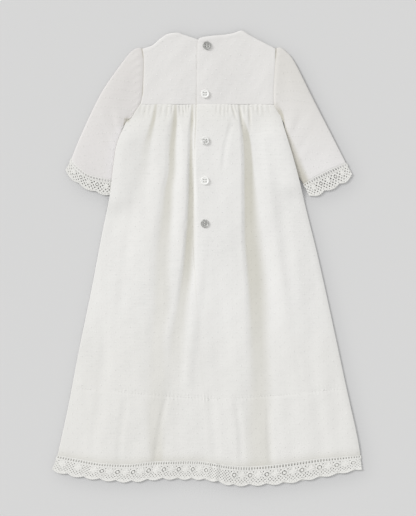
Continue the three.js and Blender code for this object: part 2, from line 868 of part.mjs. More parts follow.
function makeButtons(wasm, material) {
  const geometry = buttonGeometry(wasm);
  const reach = buttonSize.radius;
  return buttons.map(({ name, x, y }) => {
    const tiltX = (flapTop(x + reach, y) - flapTop(x - reach, y)) / (2 * reach);
    const tiltY = (flapTop(x, y + reach) - flapTop(x, y - reach)) / (2 * reach);
    const normal = new THREE.Vector3(-tiltX, -tiltY, 1).normalize();
    const rims = [flapTop(x - reach, y), flapTop(x + reach, y), flapTop(x, y - reach), flapTop(x, y + reach)];
    const seat = Math.max(flapTop(x, y), (rims[0] + rims[1]) / 2, (rims[2] + rims[3]) / 2);
    const mesh = new THREE.Mesh(geometry, material);
    mesh.name = name;
    mesh.quaternion.setFromUnitVectors(new THREE.Vector3(0, 0, 1), normal);
    mesh.position.set(x, y, seat + buttonLift);
    return mesh;
  });
}

// The gown

const cloth = new THREE.MeshStandardMaterial({ color: '#efeeea', roughness: 0.9, metalness: 0 });
const lace = new THREE.MeshStandardMaterial({ color: '#f1f0ea', roughness: 0.85, metalness: 0 });
const pearl = new THREE.MeshStandardMaterial({ color: '#c9c8c4', roughness: 0.3, metalness: 0 });

const group = new THREE.Group();
group.name = 'christening_gown';
const wasm = await loadManifold();
group.add(
  ...makeYokes(cloth),
  ...makeSkirt(cloth),
  makeSleeve('left', cloth),
  makeSleeve('right', cloth),
  ...makeCuffLace('left', lace),
  ...makeCuffLace('right', lace),
  ...makeHemLace(lace),
  ...makeButtons(wasm, pearl),
);

export default group;
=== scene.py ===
import math
import bpy
import numpy as np
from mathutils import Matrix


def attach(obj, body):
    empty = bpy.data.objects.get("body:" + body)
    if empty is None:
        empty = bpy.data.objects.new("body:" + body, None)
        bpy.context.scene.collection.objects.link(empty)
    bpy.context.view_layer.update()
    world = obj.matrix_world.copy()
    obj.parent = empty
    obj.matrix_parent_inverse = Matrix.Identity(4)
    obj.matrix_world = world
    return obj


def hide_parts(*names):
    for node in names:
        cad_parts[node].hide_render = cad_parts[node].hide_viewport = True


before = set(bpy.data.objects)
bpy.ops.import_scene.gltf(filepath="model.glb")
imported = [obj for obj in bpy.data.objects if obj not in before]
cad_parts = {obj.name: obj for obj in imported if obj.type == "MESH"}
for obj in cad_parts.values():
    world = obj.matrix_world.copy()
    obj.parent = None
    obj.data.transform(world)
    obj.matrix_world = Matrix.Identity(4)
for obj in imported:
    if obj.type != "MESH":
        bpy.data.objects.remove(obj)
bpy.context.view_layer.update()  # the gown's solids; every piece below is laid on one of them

mm = 0.001  # the tables below are in millimetres, in the same frame as the solids
chance = np.random.default_rng(11)
print("christening gown: the solids are loaded")


# camera: straight down on the gown through a long lens
view = dict(middle=(2.25, 0.75), distance=3000, pictureHeight=774, sensor=36)
cameraData = bpy.data.cameras.new("overhead")
cameraData.sensor_width = view["sensor"]
cameraData.lens = view["sensor"] * view["distance"] / view["pictureHeight"]
cameraData.clip_end = 20
overhead = bpy.data.objects.new("overhead", cameraData)
overhead.location = (view["middle"][0] * mm, view["middle"][1] * mm, view["distance"] * mm)
bpy.context.scene.collection.objects.link(overhead)
bpy.context.scene.camera = overhead
bpy.context.scene.view_settings.view_transform = "Standard"

# light: a soft lamp low beyond the upper left corner, and an even pale room that gives most of the light
light = dict(place=(-1.7, 1.1, 1.05), width=0.3, strength=1.66, room=0.693, roomColour=(1, 1, 0.995))
lamp = bpy.data.lights.new("window", "SUN")
lamp.angle = light["width"]
lamp.energy = light["strength"]
window = bpy.data.objects.new("window", lamp)
window.location = light["place"]
window.rotation_euler = (-window.location.normalized()).to_track_quat("-Z", "Y").to_euler()
bpy.context.scene.collection.objects.link(window)
room = bpy.data.worlds.new("room")
room.use_nodes = True
room.node_tree.nodes["Background"].inputs["Color"].default_value = (*light["roomColour"], 1)
room.node_tree.nodes["Background"].inputs["Strength"].default_value = light["room"]
bpy.context.scene.world = room
print("camera and light are set")


# numbers and curves

def clamp01(t):
    return np.clip(t, 0, 1)


def mix(a, b, t):
    return a + (b - a) * t


def ease(t):
    s = clamp01(t)
    return s * s * (3 - 2 * s)


def swell(distance, leftWidth, rightWidth):
    # 1 on a line and 0 past its width on either side
    t = np.abs(distance) / np.where(distance < 0, leftWidth, rightWidth)
    return np.where(t < 1, (1 + np.cos(np.pi * np.minimum(t, 1))) / 2, 0)


def lineThrough(rows):
    # a smooth line through (place, value) rows, which never overshoots them
    at = np.array([row[0] for row in rows], float)
    value = np.array([row[1] for row in rows], float)
    if at[0] > at[-1]:
        at, value = at[::-1], value[::-1]
    steps = np.diff(value) / np.diff(at)
    before = np.concatenate([steps[:1], steps])
    after = np.concatenate([steps, steps[-1:]])
    total = np.where(before * after > 0, before + after, 1)
    slopes = np.where(before * after > 0, 2 * before * after / total, 0)

    def line(place):
        i = np.clip(np.searchsorted(at, place, side="right") - 1, 0, len(at) - 2)
        width = at[i + 1] - at[i]
        t = clamp01((place - at[i]) / width)
        ends = value[i] * (1 + 2 * t) * (1 - t) ** 2 + value[i + 1] * (3 - 2 * t) * t**2
        return ends + width * (slopes[i] * t * (1 - t) ** 2 - slopes[i + 1] * (1 - t) * t**2)

    return line


def columnLines(rows):
    # a line for each further column of a table, whose first column is the place
    return [lineThrough([(row[0], row[k]) for row in rows]) for k in range(1, len(rows[0]))]


def curveThrough(points):
    # an even curve through points: its argument is the share of its length
    p = np.array(points, float)
    samples = []
    for i in range(len(p) - 1):
        a, b, c, d = p[max(0, i - 1)], p[i], p[i + 1], p[min(len(p) - 1, i + 2)]
        t = np.linspace(0, 1, 60, endpoint=False)[:, None]
        leave, arrive = (c - a) / 2, (d - b) / 2
        samples.append(
            (2 * b - 2 * c + leave + arrive) * t**3
            + (3 * c - 3 * b - 2 * leave - arrive) * t**2 + leave * t + b
        )
    samples.append(p[-1:])
    line = np.concatenate(samples)
    run = np.concatenate([[0], np.cumsum(np.linalg.norm(np.diff(line, axis=0), axis=1))])
    run /= run[-1]

    def curve(share):
        return np.stack([np.interp(share, run, line[:, k]) for k in range(line.shape[1])], axis=-1)

    return curve


def ripple(x, y, waves):
    # slow unevenness from a few crossing waves: (length, height) of each kind
    total = 0
    for length, height in waves:
        for turn in chance.uniform(0, math.tau, 4):
            phase = chance.uniform(0, math.tau)
            stretch = chance.uniform(0.75, 1.35)
            along = (x * math.cos(turn) + y * math.sin(turn)) * math.tau / (length * stretch)
            total = total + height * 0.5 * np.sin(along + phase)
    return total


# meshes

def makePiece(name, points, faces, material, smooth=True):
    mesh = bpy.data.meshes.new(name)
    mesh.from_pydata((np.asarray(points) * mm).tolist(), [], faces)
    mesh.materials.append(material)
    if smooth:
        mesh.polygons.foreach_set("use_smooth", [True] * len(mesh.polygons))
    mesh.update()
    piece = bpy.data.objects.new(name, mesh)
    bpy.context.scene.collection.objects.link(piece)
    return piece


def gridFaces(rows, columns, closed=False):
    # quads of a grid of rows x columns points, seen from above when x runs right and y runs down
    wide = columns if closed else columns - 1
    r, c = np.meshgrid(np.arange(rows - 1), np.arange(wide), indexing="ij")
    a = r * columns + c
    b = r * columns + (c + 1) % columns
    return np.stack([a, a + columns, b + columns, b], axis=-1).reshape(-1, 4).tolist()


def ringFaces(rings, sides, closed=False):
    # quads between one ring of points and the next
    faces = []
    for i in range(rings if closed else rings - 1):
        j = (i + 1) % rings
        for k in range(sides):
            m = (k + 1) % sides
            faces.append((i * sides + k, i * sides + m, j * sides + m, j * sides + k))
    return faces


def keepOnPoints(piece, name, values):
    piece.data.attributes.new(name, "FLOAT", "POINT").data.foreach_set("value", np.ravel(values))


def fitPiece(piece, node=None):
    # the piece is hung on the root, and the solid it stands for is hidden where one is named
    if node:
        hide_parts(node)
    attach(piece, "root")
    return piece


def clothShell(node, grid, material, closed=False, paintedShade=None):
    # a thin wall of cloth hung under a grid of points on its outside; its last argument gives how much painted shade
    # darkens its colour at each point
    rows, columns = grid.shape[:2]
    piece = makePiece(f"{node}_cloth", grid.reshape(-1, 3), gridFaces(rows, columns, closed), material)
    keepOnPoints(piece, "paintedShade", paintedShade(grid[..., 0], grid[..., 1]) if paintedShade else np.zeros((rows, columns)))
    wall = piece.modifiers.new("cloth wall", "SOLIDIFY")
    wall.thickness = cloth["shellThickness"] * mm
    wall.offset = -1
    return fitPiece(piece, node)


def threadMesh(line, width, thickness, sides=4, closed=False):
    # a flattened thread along a line of points
    p = np.asarray(line, float)
    n = len(p)
    width = np.broadcast_to(np.asarray(width, float), (n,))[:, None, None]
    thickness = np.broadcast_to(np.asarray(thickness, float), (n,))[:, None, None]
    ahead = np.roll(p, -1, axis=0) - np.roll(p, 1, axis=0) if closed else np.gradient(p, axis=0)
    ahead /= np.maximum(np.linalg.norm(ahead, axis=1), 1e-9)[:, None]
    side = np.cross(ahead, [0, 0, 1.0])
    side /= np.maximum(np.linalg.norm(side, axis=1), 1e-9)[:, None]
    up = np.cross(side, ahead)
    turn = np.arange(sides) * math.tau / sides
    ring = (
        p[:, None]
        + side[:, None] * (np.cos(turn)[None, :, None] * width / 2)
        + up[:, None] * (np.sin(turn)[None, :, None] * thickness / 2)
    )
    faces = ringFaces(n, sides, closed)
    if not closed:
        faces += [tuple(range(sides - 1, -1, -1)), tuple((n - 1) * sides + k for k in range(sides))]
    return ring.reshape(-1, 3), faces


def joinParts(parts):
    points, faces, start = [], [], 0
    for somePoints, someFaces in parts:
        points.append(somePoints)
        faces.extend(tuple(i + start for i in face) for face in someFaces)
        start += len(somePoints)
    return np.concatenate(points), faces


# finishes: fine ivory cotton with a plain weave, its tufts, the lace and the sewing thread
cloth = dict(
    white=(0.873, 0.866, 0.848), shade=(0.843, 0.838, 0.821), threads=0.55, weaveDepth=0.00006,
    # the darker, warmer colour that painted shade turns the cloth toward
    paintedShade=(0.625, 0.606, 0.528), roughness=0.92, sheen=0.12, shellThickness=0.55,
    yokeTint=(0.952, 0.944, 0.946), leftSleeveTint=(0.982, 0.966, 0.99), rightSleeveTint=(0.982, 0.972, 0.985),
    slubs=((70, 700, 70), 3), clouds=((14, 9, 14), 2), blend=(0.72, 1.22), weaveUneven=1.2, weaveStrength=0.5,
)


class Finish:
    # a material, with short ways to add to its nodes
    def __init__(self, name, **sockets):
        self.material = bpy.data.materials.new(name)
        self.material.use_nodes = True
        self.nodes = self.material.node_tree.nodes
        self.shader = self.nodes["Principled BSDF"]
        for socket, value in sockets.items():
            self.shader.inputs[socket.replace("_", " ")].default_value = value

    def add(self, kind, inputs, **settings):
        # inputs are numbers and colours, or what other nodes give
        node = self.nodes.new("ShaderNode" + kind)
        for name, value in settings.items():
            setattr(node, name, value)
        for socket, value in inputs.items():
            if isinstance(value, bpy.types.NodeSocket):
                self.material.node_tree.links.new(value, node.inputs[socket])
            else:
                node.inputs[socket].default_value = value
        return node

    def place(self):
        return self.add("TexCoord", {}).outputs["Object"]

    def total(self, first, second):
        return self.add("Math", {0: first, 1: second}, operation="ADD").outputs[0]

    def ramp(self, amount, *stops):
        node = self.add("ValToRGB", {"Fac": amount})
        for element, (position, colour) in zip(node.color_ramp.elements, stops):
            element.position = position
            element.color = (*colour, 1)
        return node.outputs["Color"]

    def toward(self, base, colour, attribute):
        # the base colour goes over to another one by a value that is kept on the points
        amount = self.add("Attribute", {}, attribute_name=attribute).outputs["Fac"]
        sockets = {"Factor": amount, "A": base, "B": (*colour, 1)}
        return self.add("Mix", sockets, data_type="RGBA").outputs["Result"]

    def colour(self, output):
        self.material.node_tree.links.new(output, self.shader.inputs["Base Color"])

    def bump(self, height, distance, strength):
        node = self.add("Bump", {"Height": height, "Distance": distance, "Strength": strength})
        self.material.node_tree.links.new(node.outputs["Normal"], self.shader.inputs["Normal"])


def clothMaterial(name, white, shade, threads, weaveDepth, paintedShade=None):
    finish = Finish(name, Roughness=cloth["roughness"], Sheen_Weight=cloth["sheen"])
    place = finish.place()

    def streaks(scale, detail):
        stretched = finish.add("Mapping", {"Vector": place, "Scale": scale}).outputs["Vector"]
        return finish.add("TexNoise", {"Vector": stretched, "Scale": 1, "Detail": detail}).outputs["Fac"]

    slubs = streaks(*cloth["slubs"])
    low, high = cloth["blend"]
    colour = finish.ramp(finish.total(slubs, streaks(*cloth["clouds"])), (low, shade), (high, white))
    if paintedShade:  # painted shade: in folds, seams and hollows the colour goes over to a darker, warmer tone
        colour = finish.toward(colour, paintedShade, "paintedShade")
    finish.colour(colour)
    wave = {"Vector": place, "Scale": math.tau / (20 * threads * mm), "Distortion": cloth["weaveUneven"], "Detail": 1}
    weave = finish.total(*(finish.add("TexWave", wave, bands_direction=way).outputs["Fac"] for way in "XY"))
    finish.bump(finish.total(weave, slubs), weaveDepth, cloth["weaveStrength"])
    return finish.material


def lawn(name, tint):
    white, shade, paintedShade = (tuple(v * t for v, t in zip(cloth[key], tint)) for key in ("white", "shade", "paintedShade"))
    return clothMaterial(name, white, shade, cloth["threads"], cloth["weaveDepth"], paintedShade)


skirtLawn = lawn("skirt_lawn", (1, 1, 1))
yokeLawn = lawn("yoke_lawn", cloth["yokeTint"])
leftSleeveLawn = lawn("left_sleeve_lawn", cloth["leftSleeveTint"])
rightSleeveLawn = lawn("right_sleeve_lawn", cloth["rightSleeveTint"])
# the tufts take the same painted shade as the cloth they sit on
tuftCotton = clothMaterial("tuft_cotton", (0.885, 0.883, 0.865), (0.85, 0.848, 0.83), 0.3, 0.0001, cloth["paintedShade"])
laceCotton = clothMaterial("lace_cotton", (0.87, 0.864, 0.835), (0.82, 0.815, 0.785), 0.35, 0.00005)
sewingThread = clothMaterial("sewing_thread", (0.8, 0.8, 0.77), (0.74, 0.74, 0.71), 0.25, 0.0001)
print("cloth, tuft and lace finishes are made")


# the body's outline and layers, which the yoke, skirt and lace share
body = dict(
    wall=1.2, gap=0.3, lappedWall=1.55, seamY=230.2, hemMiddleY=-304,
    underX=10.5, underEnd=(62, 40), close=(40, -50), lapShoulder=60,
    left=[(315, -96.5), (293, -93.8), (266, -94.8), (245, -96), (231, -99.3), (222, -105.2), (211, -112),
          (206, -119), (197, -123.5), (165, -135), (130, -139.9), (98, -143.7), (39, -155.6), (-42, -170.9),
          (-140, -191.1), (-234, -209.1), (-296, -223)],
    right=[(315, 104), (289, 102.8), (248, 100.5), (231, 101), (222, 105.5), (212, 111.6), (196, 116),
           (179, 121.2), (151, 129.6), (124, 137), (98, 143.3), (75, 148.7), (7, 165.6), (-97, 188.7),
           (-198, 210.3), (-274, 227), (-296, 230.6)],
    hem=[(-224, -294.6), (-190, -300.6), (-154, -306.6), (-118, -307.7), (-82, -304.2), (-20, -302.4),
         (28, -309), (62, -311.3), (98, -308.9), (134, -304.2), (170, -299.4), (231, -294.6)],
    overEdge=[(332, -10.5), (322, -13.4), (230, -15.2), (128, -18.5), (34, -19.5), (-100, -12), (-304, 4)],
)
leftX = lineThrough(body["left"])
rightX = lineThrough(body["right"])
hemY = lineThrough(body["hem"])
overX = lineThrough(body["overEdge"])


def underX(y):
    start, end = body["underEnd"]
    return mix(body["underX"], overX(y) - body["gap"], ease((start - y) / (start - end)))


def lapLift(x, y):
    # what the over side of the opening is raised by to lie on the under side
    start, end = body["close"]
    across = 1 - ease((x - body["underX"] + 10) / body["lapShoulder"])
    down = 1 - ease((start - y) / (start - end))
    return (body["lappedWall"] + body["gap"]) * across * down


# skirt: its folds run down from the yoke; each is a band with its own sharp and soft side
skirt = dict(
    rows=230, rowCrowding=1.12, seamGap=0.15, frontRows=150, frontInset=0.4, frontFloor=0.02,
    yokeSeam=(0.12, 1.2), lapEdge=(0.25, 2.4), lapFade=(-8, 40), calmEdge=16, calmTop=26,
    puff=[(230, 0.1), (200, 3.0), (100, 4.4), (-80, 3.8), (-304, 1.9)],
    widening=[(230, 0.7), (200, 1), (100, 1.2), (-80, 1.7), (-304, 2.4)],
    leftRoll=(95, 1.3), rightRoll=(60, 1.4), hemRoll=(12, 0.7), rightTurn=(7, 0.8),
    sleeveLap=dict(height=4.2, width=8, ramp=46, left=(214, 172, 92, 60), right=(214, 180, 114, 84)),
    frontRise=(0.8, 120), gatherStart=(0.35, 12), gatherRise=(0.45, 1.6), gatherFade=(0.25, 0.85),
    frontGatherFade=(0.3, 0.8), gatherOpening=0.5, foldOpening=60, waveStretch=0.55, rollRoundness=1.8,
)
folds = [  # (y, where its shade starts, its floor from, its floor to, where it ends, how deep its painted shade is)
    [  # outer left, which fades out by the elbow's height
        (230, -79, -76.7, -75.2, -72.5, 0.6), (208, -84, -80.5, -78.5, -75, 0.75),
        (185, -92, -86.5, -84.5, -79, 0.5), (163, -101, -91.5, -89, -82, 0.2), (133, -106, -96, -93, -85, 0.08),
        (80, -112, -101, -98, -90, 0),
    ],
    [  # left
        (230, -50, -46.6, -45.8, -43.5, 0.6), (208, -54, -47.5, -45.8, -42.8, 0.88),
        (185, -57, -50.5, -48, -43.5, 0.82), (163, -58, -53.5, -50.5, -43.5, 0.78),
        (133, -58, -55, -51.5, -43, 0.64), (103, -65, -59.5, -56, -46, 0.6), (73, -71, -61, -57.5, -47, 0.52),
        (35, -77, -65.5, -61, -49, 0.38), (-10, -82, -70, -64, -50, 0.29), (-62, -84, -70, -62, -48, 0.29),
        (-122, -88, -76, -70, -58, 0.2), (-182, -92, -78, -69, -54, 0.18), (-242, -94, -81, -71, -57, 0.24),
        (-304, -88, -77, -71, -61, 0.42),
    ],
    [  # beside the placket, narrow and deep
        (230, -23.6, -22, -21, -18.6, 0.5), (208, -24.8, -22.4, -20.8, -18.2, 0.85),
        (185, -25.8, -23.6, -22.4, -19.6, 0.5), (163, -26, -23.9, -22.7, -19.8, 0.72),
        (133, -27, -24.7, -22.4, -18.8, 0.88), (103, -28, -24.8, -21.6, -17.4, 0.88),
        (73, -29.5, -26.2, -22.6, -16, 0.82), (35, -32, -28.4, -24, -15, 0.84),
        (-10, -36.5, -32.4, -26.5, -17, 0.66), (-62, -45, -39, -34, -23, 0.38),
        (-122, -58, -48, -42, -28, 0.24), (-182, -64, -52, -45, -32, 0.07), (-304, -70, -58, -50, -38, 0),
    ],
    [  # right, wide, sharp on its left
        (230, 46, 47.6, 48.4, 50, 0.3), (215, 47.4, 50, 51.6, 54, 0.28), (204, 50, 52.5, 56, 59.4, 0.44),
        (185, 53, 55.4, 62.5, 65.5, 0.8), (163, 54.3, 57.4, 65.5, 69, 0.79), (133, 55, 58.4, 67.5, 72, 0.82),
        (103, 55, 58.6, 66.5, 77, 0.86), (73, 55.3, 59, 66, 81, 0.84), (35, 55.3, 59.3, 67, 88, 0.75),
        (-10, 58, 63, 74, 93, 0.72), (-62, 60.5, 67.5, 77, 98, 0.62), (-122, 60, 73, 79, 99, 0.46),
        (-182, 60, 77, 82, 104, 0.35), (-242, 52, 75, 84, 103, 0.35), (-304, 50, 76, 89, 104, 0.35),
    ],
]
foldForms = [(0.35, 4, 8), (0.45, 5, 12), (0.42, 3, 4), (0.48, 4, 22)]  # (share of the puff, spread left, right)
ridges = [  # pipes of cloth beside the folds: (fold, offset, rise, left, right)
    (1, -13, [(230, 0.1), (200, 0.3), (100, 0.5), (-80, 0.4), (-304, 0.2)], 15, 12),
    (2, -9, [(230, 0.1), (200, 0.3), (100, 0.5), (-80, 0.5), (-304, 0.4)], 13, 11),
    (3, -9, [(230, 0.1), (200, 0.3), (100, 0.5), (-80, 0.5), (-304, 0.5)], 24, 12),
]
gathers = [  # (x at the seam, x at its end, length, depth, left width, right width)
    (-97, -101, 18, 0.35, 3, 2.5), (-90, -94, 24, 0.45, 3.5, 2.5), (-83, -86, 16, 0.45, 2.5, 2),
    (-66, -68, 20, 0.5, 3, 2), (-58, -60, 26, 0.6, 3, 2), (-51.3, -52, 16, 0.9, 1.6, 1.4),
    (-40, -39, 18, 0.9, 2.2, 2.2), (-35.2, -33.6, 22, 0.7, 2, 2.4), (-30.6, -29.4, 14, 0.9, 1.8, 1.6),
    (-26, -27, 12, 0.6, 1.6, 2), (15.6, 14.6, 16, 0.45, 2, 2.4), (22.2, 21, 22, 0.6, 2.2, 2.4),
    (28, 27.4, 26, 0.5, 2.2, 2.6), (33, 32.6, 18, 0.6, 1.8, 2.2), (37.5, 45, 26, 1.1, 1.8, 3),
    (42.6, 47, 14, 0.6, 1.6, 2), (49.2, 55, 46, 1.3, 2.2, 3.4), (57, 58, 18, 0.7, 1.8, 2.2),
    (63.6, 65.5, 44, 1.2, 2.2, 3), (70.4, 71.4, 16, 0.6, 2, 2.4), (77, 77.6, 18, 0.85, 1.6, 2.4),
    (84, 86, 20, 0.5, 2.4, 3), (92, 95, 16, 0.4, 2.6, 3),
]
creases = [  # low soft ones further down: (points, depth, left width, right width, fade)
    ([(37, 204), (28, 168), (24, 135)], -0.55, 5, 8, 24),
    ([(-104, 120), (-118, 20), (-136, -120)], -0.45, 12, 16, 60),
    ([(100, 170), (112, 60), (128, -60)], -0.55, 14, 18, 60),
    ([(104, 20), (122, -110), (140, -240)], 0.5, 16, 12, 70),
    ([(-5, 20), (-16, -80), (-28, -180)], 0.7, 12, 12, 50),
    ([(-150, -110), (-158, -190), (-170, -290)], -0.5, 12, 16, 50),
    ([(150, -130), (162, -200), (176, -290)], -0.55, 14, 14, 50),
    ([(-60, -205), (-70, -250), (-78, -304)], -0.7, 6, 9, 30),
    ([(44, -215), (50, -260), (52, -308)], -0.6, 7, 9, 30),
    ([(92, -225), (93, -265), (96, -306)], -0.6, 6, 10, 30),
    ([(-122, -215), (-128, -260), (-132, -304)], -0.45, 9, 9, 30),
    ([(6, -200), (10, -260), (14, -306)], -0.5, 10, 12, 30),
]
deepHem = dict(
    line=[(-230, -192), (-197, -194.3), (-151, -197.3), (-88, -203.3), (8, -209.3), (125, -203.3), (178, -197.3),
          (204, -195.8), (232, -194)],
    groove=0.4, halfWidth=1.6, step=0.25, stepWidth=3, calmEdge=14, pucker=0.32, puckerReach=6, puckerPitch=5.2,
    puckerSway=(2, 17), puckerRun=24, puckerStart=20, puckerLift=1.6, stitched=(-196, 204), stitchShows=0.35,
    stitchPitch=4.2, stitchLength=2.3, stitchWidth=0.55, stitchThickness=0.4, stitchRise=(-0.05, 0.2, 0.2, -0.05),
)
puffAt = lineThrough(skirt["puff"])
wideningAt = lineThrough(skirt["widening"])
deepHemY = lineThrough(deepHem["line"])
foldLines = [columnLines(fold) for fold in folds]
ridgeRises = [lineThrough(ridge[2]) for ridge in ridges]
creaseLines = [lineThrough([(y, x) for x, y in crease[0]]) for crease in creases]
hemPuckers = chance.uniform(0, 1, 200)  # how lively the hem is, every 24 mm


def sleeveLift(x, y):
    lap = skirt["sleeveLap"]

    def side(inside, start, full, until, gone):
        across = 1 - ease((inside - lap["width"]) / lap["ramp"])
        return lap["height"] * across * ease((start - y) / (start - full)) * ease((y - gone) / (until - gone))

    return np.maximum(side(x - leftX(y), *lap["left"]), side(rightX(y) - x, *lap["right"]))


def frontRise(y):
    height, longest = skirt["frontRise"]
    share, depth = skirt["gatherStart"]
    down = body["seamY"] - y
    return height * ease(share + down / depth) * (1 - ease(down / longest))


def foldShade(x, y):
    # how much painted shade darkens the folds at a place
    clear = 1
    for start, floorFrom, floorTo, end, share in foldLines:
        down = ease((x - start(y)) / (floorFrom(y) - start(y)))
        up = ease((end(y) - x) / (end(y) - floorTo(y)))
        clear = clear * (1 - share(y) * down * up)
    return 1 - clear


def foldDepth(x, y):
    # how deep the folds lie, as a share of the puff: they spread wider than their shade
    left = 1
    opened = ease((body["seamY"] - y) / skirt["foldOpening"])
    for (start, floorFrom, floorTo, end, share), (depth, before, after) in zip(foldLines, foldForms):
        first, last = start(y) - before * opened, end(y) + after * opened
        down = ease((x - first) / (floorFrom(y) - first))
        up = ease((last - x) / (last - floorTo(y)))
        left = left * (1 - depth * np.sqrt(share(y)) * down * up)
    return 1 - left


def foldedPuff(x, y):
    height = puffAt(y)
    for inside, (width, roundness) in ((x - leftX(y), skirt["leftRoll"]), (rightX(y) - x, skirt["rightRoll"])):
        height = height * (1 - (1 - clamp01(inside / width)) ** roundness)
    widening = wideningAt(y)
    for (beside, offset, _, leftWidth, rightWidth), rise in zip(ridges, ridgeRises):
        distance = x - foldLines[beside][1](y) - offset * widening
        height = height + rise(y) * swell(distance, leftWidth * widening, rightWidth * widening)
    return height * (1 - foldDepth(x, y))


def gatherStrength(t, fade):
    # a gather is soon at its full depth below the seam, and runs out slowly
    (first, growth), (start, reach) = skirt["gatherRise"], fade
    return ease(first + t * growth) * (1 - ease((t - start) / reach))


def gatherRelief(x, y):
    # the back's gathers: short troughs that open as they run down from the yoke
    down = body["seamY"] - y
    relief = 0
    for top, end, length, depth, leftWidth, rightWidth in gathers:
        t = down / length
        middle = mix(top, end, t)
        strength = gatherStrength(t, skirt["gatherFade"])
        opened = 1 + skirt["gatherOpening"] * clamp01(t)
        relief = relief - depth * strength * swell(x - middle, leftWidth * opened, rightWidth * opened)
    return relief


def creaseRelief(x, y):
    relief = 0
    for (points, depth, leftWidth, rightWidth, fade), line in zip(creases, creaseLines):
        top, end = points[0][1], points[-1][1]
        strength = ease((top + fade * 0.5 - y) / fade) * ease((y - end + fade * 0.5) / fade)
        relief = relief + depth * strength * swell(x - line(y), leftWidth, rightWidth)
    return relief


def liveliness(x):
    return np.interp(x / deepHem["puckerRun"] + deepHem["puckerStart"], np.arange(len(hemPuckers)), hemPuckers)


def deepHemRelief(x, y):
    # the hem is turned up deep inside: a stitched groove with small puckers, and doubled cloth below it
    off = y - deepHemY(x)
    inside = ease((x - leftX(y)) / deepHem["calmEdge"]) * ease((rightX(y) - x) / deepHem["calmEdge"])
    groove = -deepHem["groove"] * np.exp(-((off / deepHem["halfWidth"]) ** 2))
    step = deepHem["step"] * ease(0.5 - off / deepHem["stepWidth"])
    lively = liveliness(x) ** 2 * deepHem["puckerLift"]
    sway, swayLength = deepHem["puckerSway"]
    waves = np.sin(math.tau * x / deepHem["puckerPitch"] + sway * np.sin(x / swayLength))
    puckers = deepHem["pucker"] * lively * waves * np.exp(-((off / deepHem["puckerReach"]) ** 2))
    return (groove + puckers) * inside + step


def skirtUnder(x, y):
    # the underside of the back skirt's solid
    return body["wall"] + body["gap"] + sleeveLift(x, y) + frontRise(y) + foldedPuff(x, y)


# painted shade: how much darker each place is coloured, in folds, gathers and seams, at the underarms, beside the
# placket and over the sleeves
shades = dict(
    underarm=dict(place=(-119.2, 207.6), reach=(7, 5.2), tail=(2.6, 5), tailReach=(2.4, 6), tailLean=0.25, share=1.3),
    gathers=0.35, top=(0.16, 60),
    low=(0.08, -60, 100), left=(0.05, -20, 60), hem=(0.32, 16), placketWidth=(1.6, 1.4), armholeWidth=(1.7, 1.5),
    placket=[(340, 0.1), (300, 0.08), (250, 0.12), (236, 0.35), (205, 0.5), (180, 0.4), (150, 0.15), (100, 0.1),
             (40, 0.1), (0, 0.2), (-60, 0.08), (-304, 0)],
    leftArmhole=[(330, 0.4), (316, 0.9), (304, 0.9), (299, 0.45), (290, 0.45), (268, 0.5), (261, 0.55), (255, 0.9),
                 (247, 0.9), (241, 0.25), (234, 0.3), (230, 0.75), (224, 0.75), (219, 0.1), (213, 0.1), (209, 0.8)],
    rightArmhole=[(330, 0.4), (317, 0.95), (303, 0.95), (298, 0.35), (290, 0.15), (240, 0.12), (232, 0.25),
                  (226, 0.5), (220, 0.7), (209, 0.9)],
    rightUnderarm=[  # (y, floor to, end, share), measured out from the skirt's right side over the sleeve
        (236, 3, 6, 0), (227, 5, 10, 0.45), (222, 5, 9.5, 0.8), (215, 3.5, 6.5, 1), (208, 2.2, 4.8, 1),
        (200, 2, 4.6, 0.95), (193, 2.5, 5.5, 0.7), (163, 3, 12, 0.8), (133, 6, 16, 0.9), (112, 10, 20, 1)],
    leftSleeve=(0.2, 0.1, 150, 130, 20), leftUnder=(195, 20), rightSleeve=(0.38, 138, 140),
)
placketShade = lineThrough(shades["placket"])
armholeShades = dict(left=lineThrough(shades["leftArmhole"]), right=lineThrough(shades["rightArmhole"]))
wedge = columnLines(shades["rightUnderarm"])


# painted shade in the V where the sleeve meets the body under the arm
def underarmPaintedShade(x, y):
    spot = shades["underarm"]
    (middleX, middleY), (reachX, reachY) = spot["place"], spot["reach"]
    away = np.hypot((x - middleX) / reachX, (y - middleY) / reachY)
    (out, below), (tailX, tailY) = spot["tail"], spot["tailReach"]
    tail = np.hypot((x - middleX + out + (middleY - y) * spot["tailLean"]) / tailX, (y - middleY + below) / tailY)
    return clamp01(spot["share"] * swell(np.minimum(away, tail), 1, 1))


# painted shade on the skirt: in its folds and gathers, at the underarm and beside the placket, and darker towards the
# bottom, the left side, the hem and the yoke seam
def skirtShade(x, y):
    share, start, reach = shades["low"]
    low = share * ease((start - y) / reach)
    share, start, reach = shades["left"]
    low = low + share * ease((start - x) / reach)
    topShare, topReach = shades["top"]
    top = topShare * (1 - ease((body["seamY"] - y) / topReach))
    hemShare, hemReach = shades["hem"]
    hem = hemShare * clamp01(1 - (y - hemY(x)) / hemReach) ** 2
    gathered = clamp01(-shades["gathers"] * gatherRelief(x, y))
    placket = placketShade(y) * swell(x - overX(y), *shades["placketWidth"])
    clear = (1 - foldShade(x, y)) * (1 - low) * (1 - top) * (1 - hem) * (1 - gathered) * (1 - placket)
    return 1 - clear * (1 - underarmPaintedShade(x, y))


# painted shade along the armhole seams
def armholeShade(x, y):
    outer, inner = shades["armholeWidth"]
    left = armholeShades["left"](y) * swell(x - leftX(y), outer, inner)
    right = armholeShades["right"](y) * swell(x - rightX(y), inner, outer)
    return np.maximum(left, right)


def yokeShade(x, y):
    placket = placketShade(y) * swell(x - overX(y), *shades["placketWidth"])
    return np.maximum(armholeShade(x, y), placket)


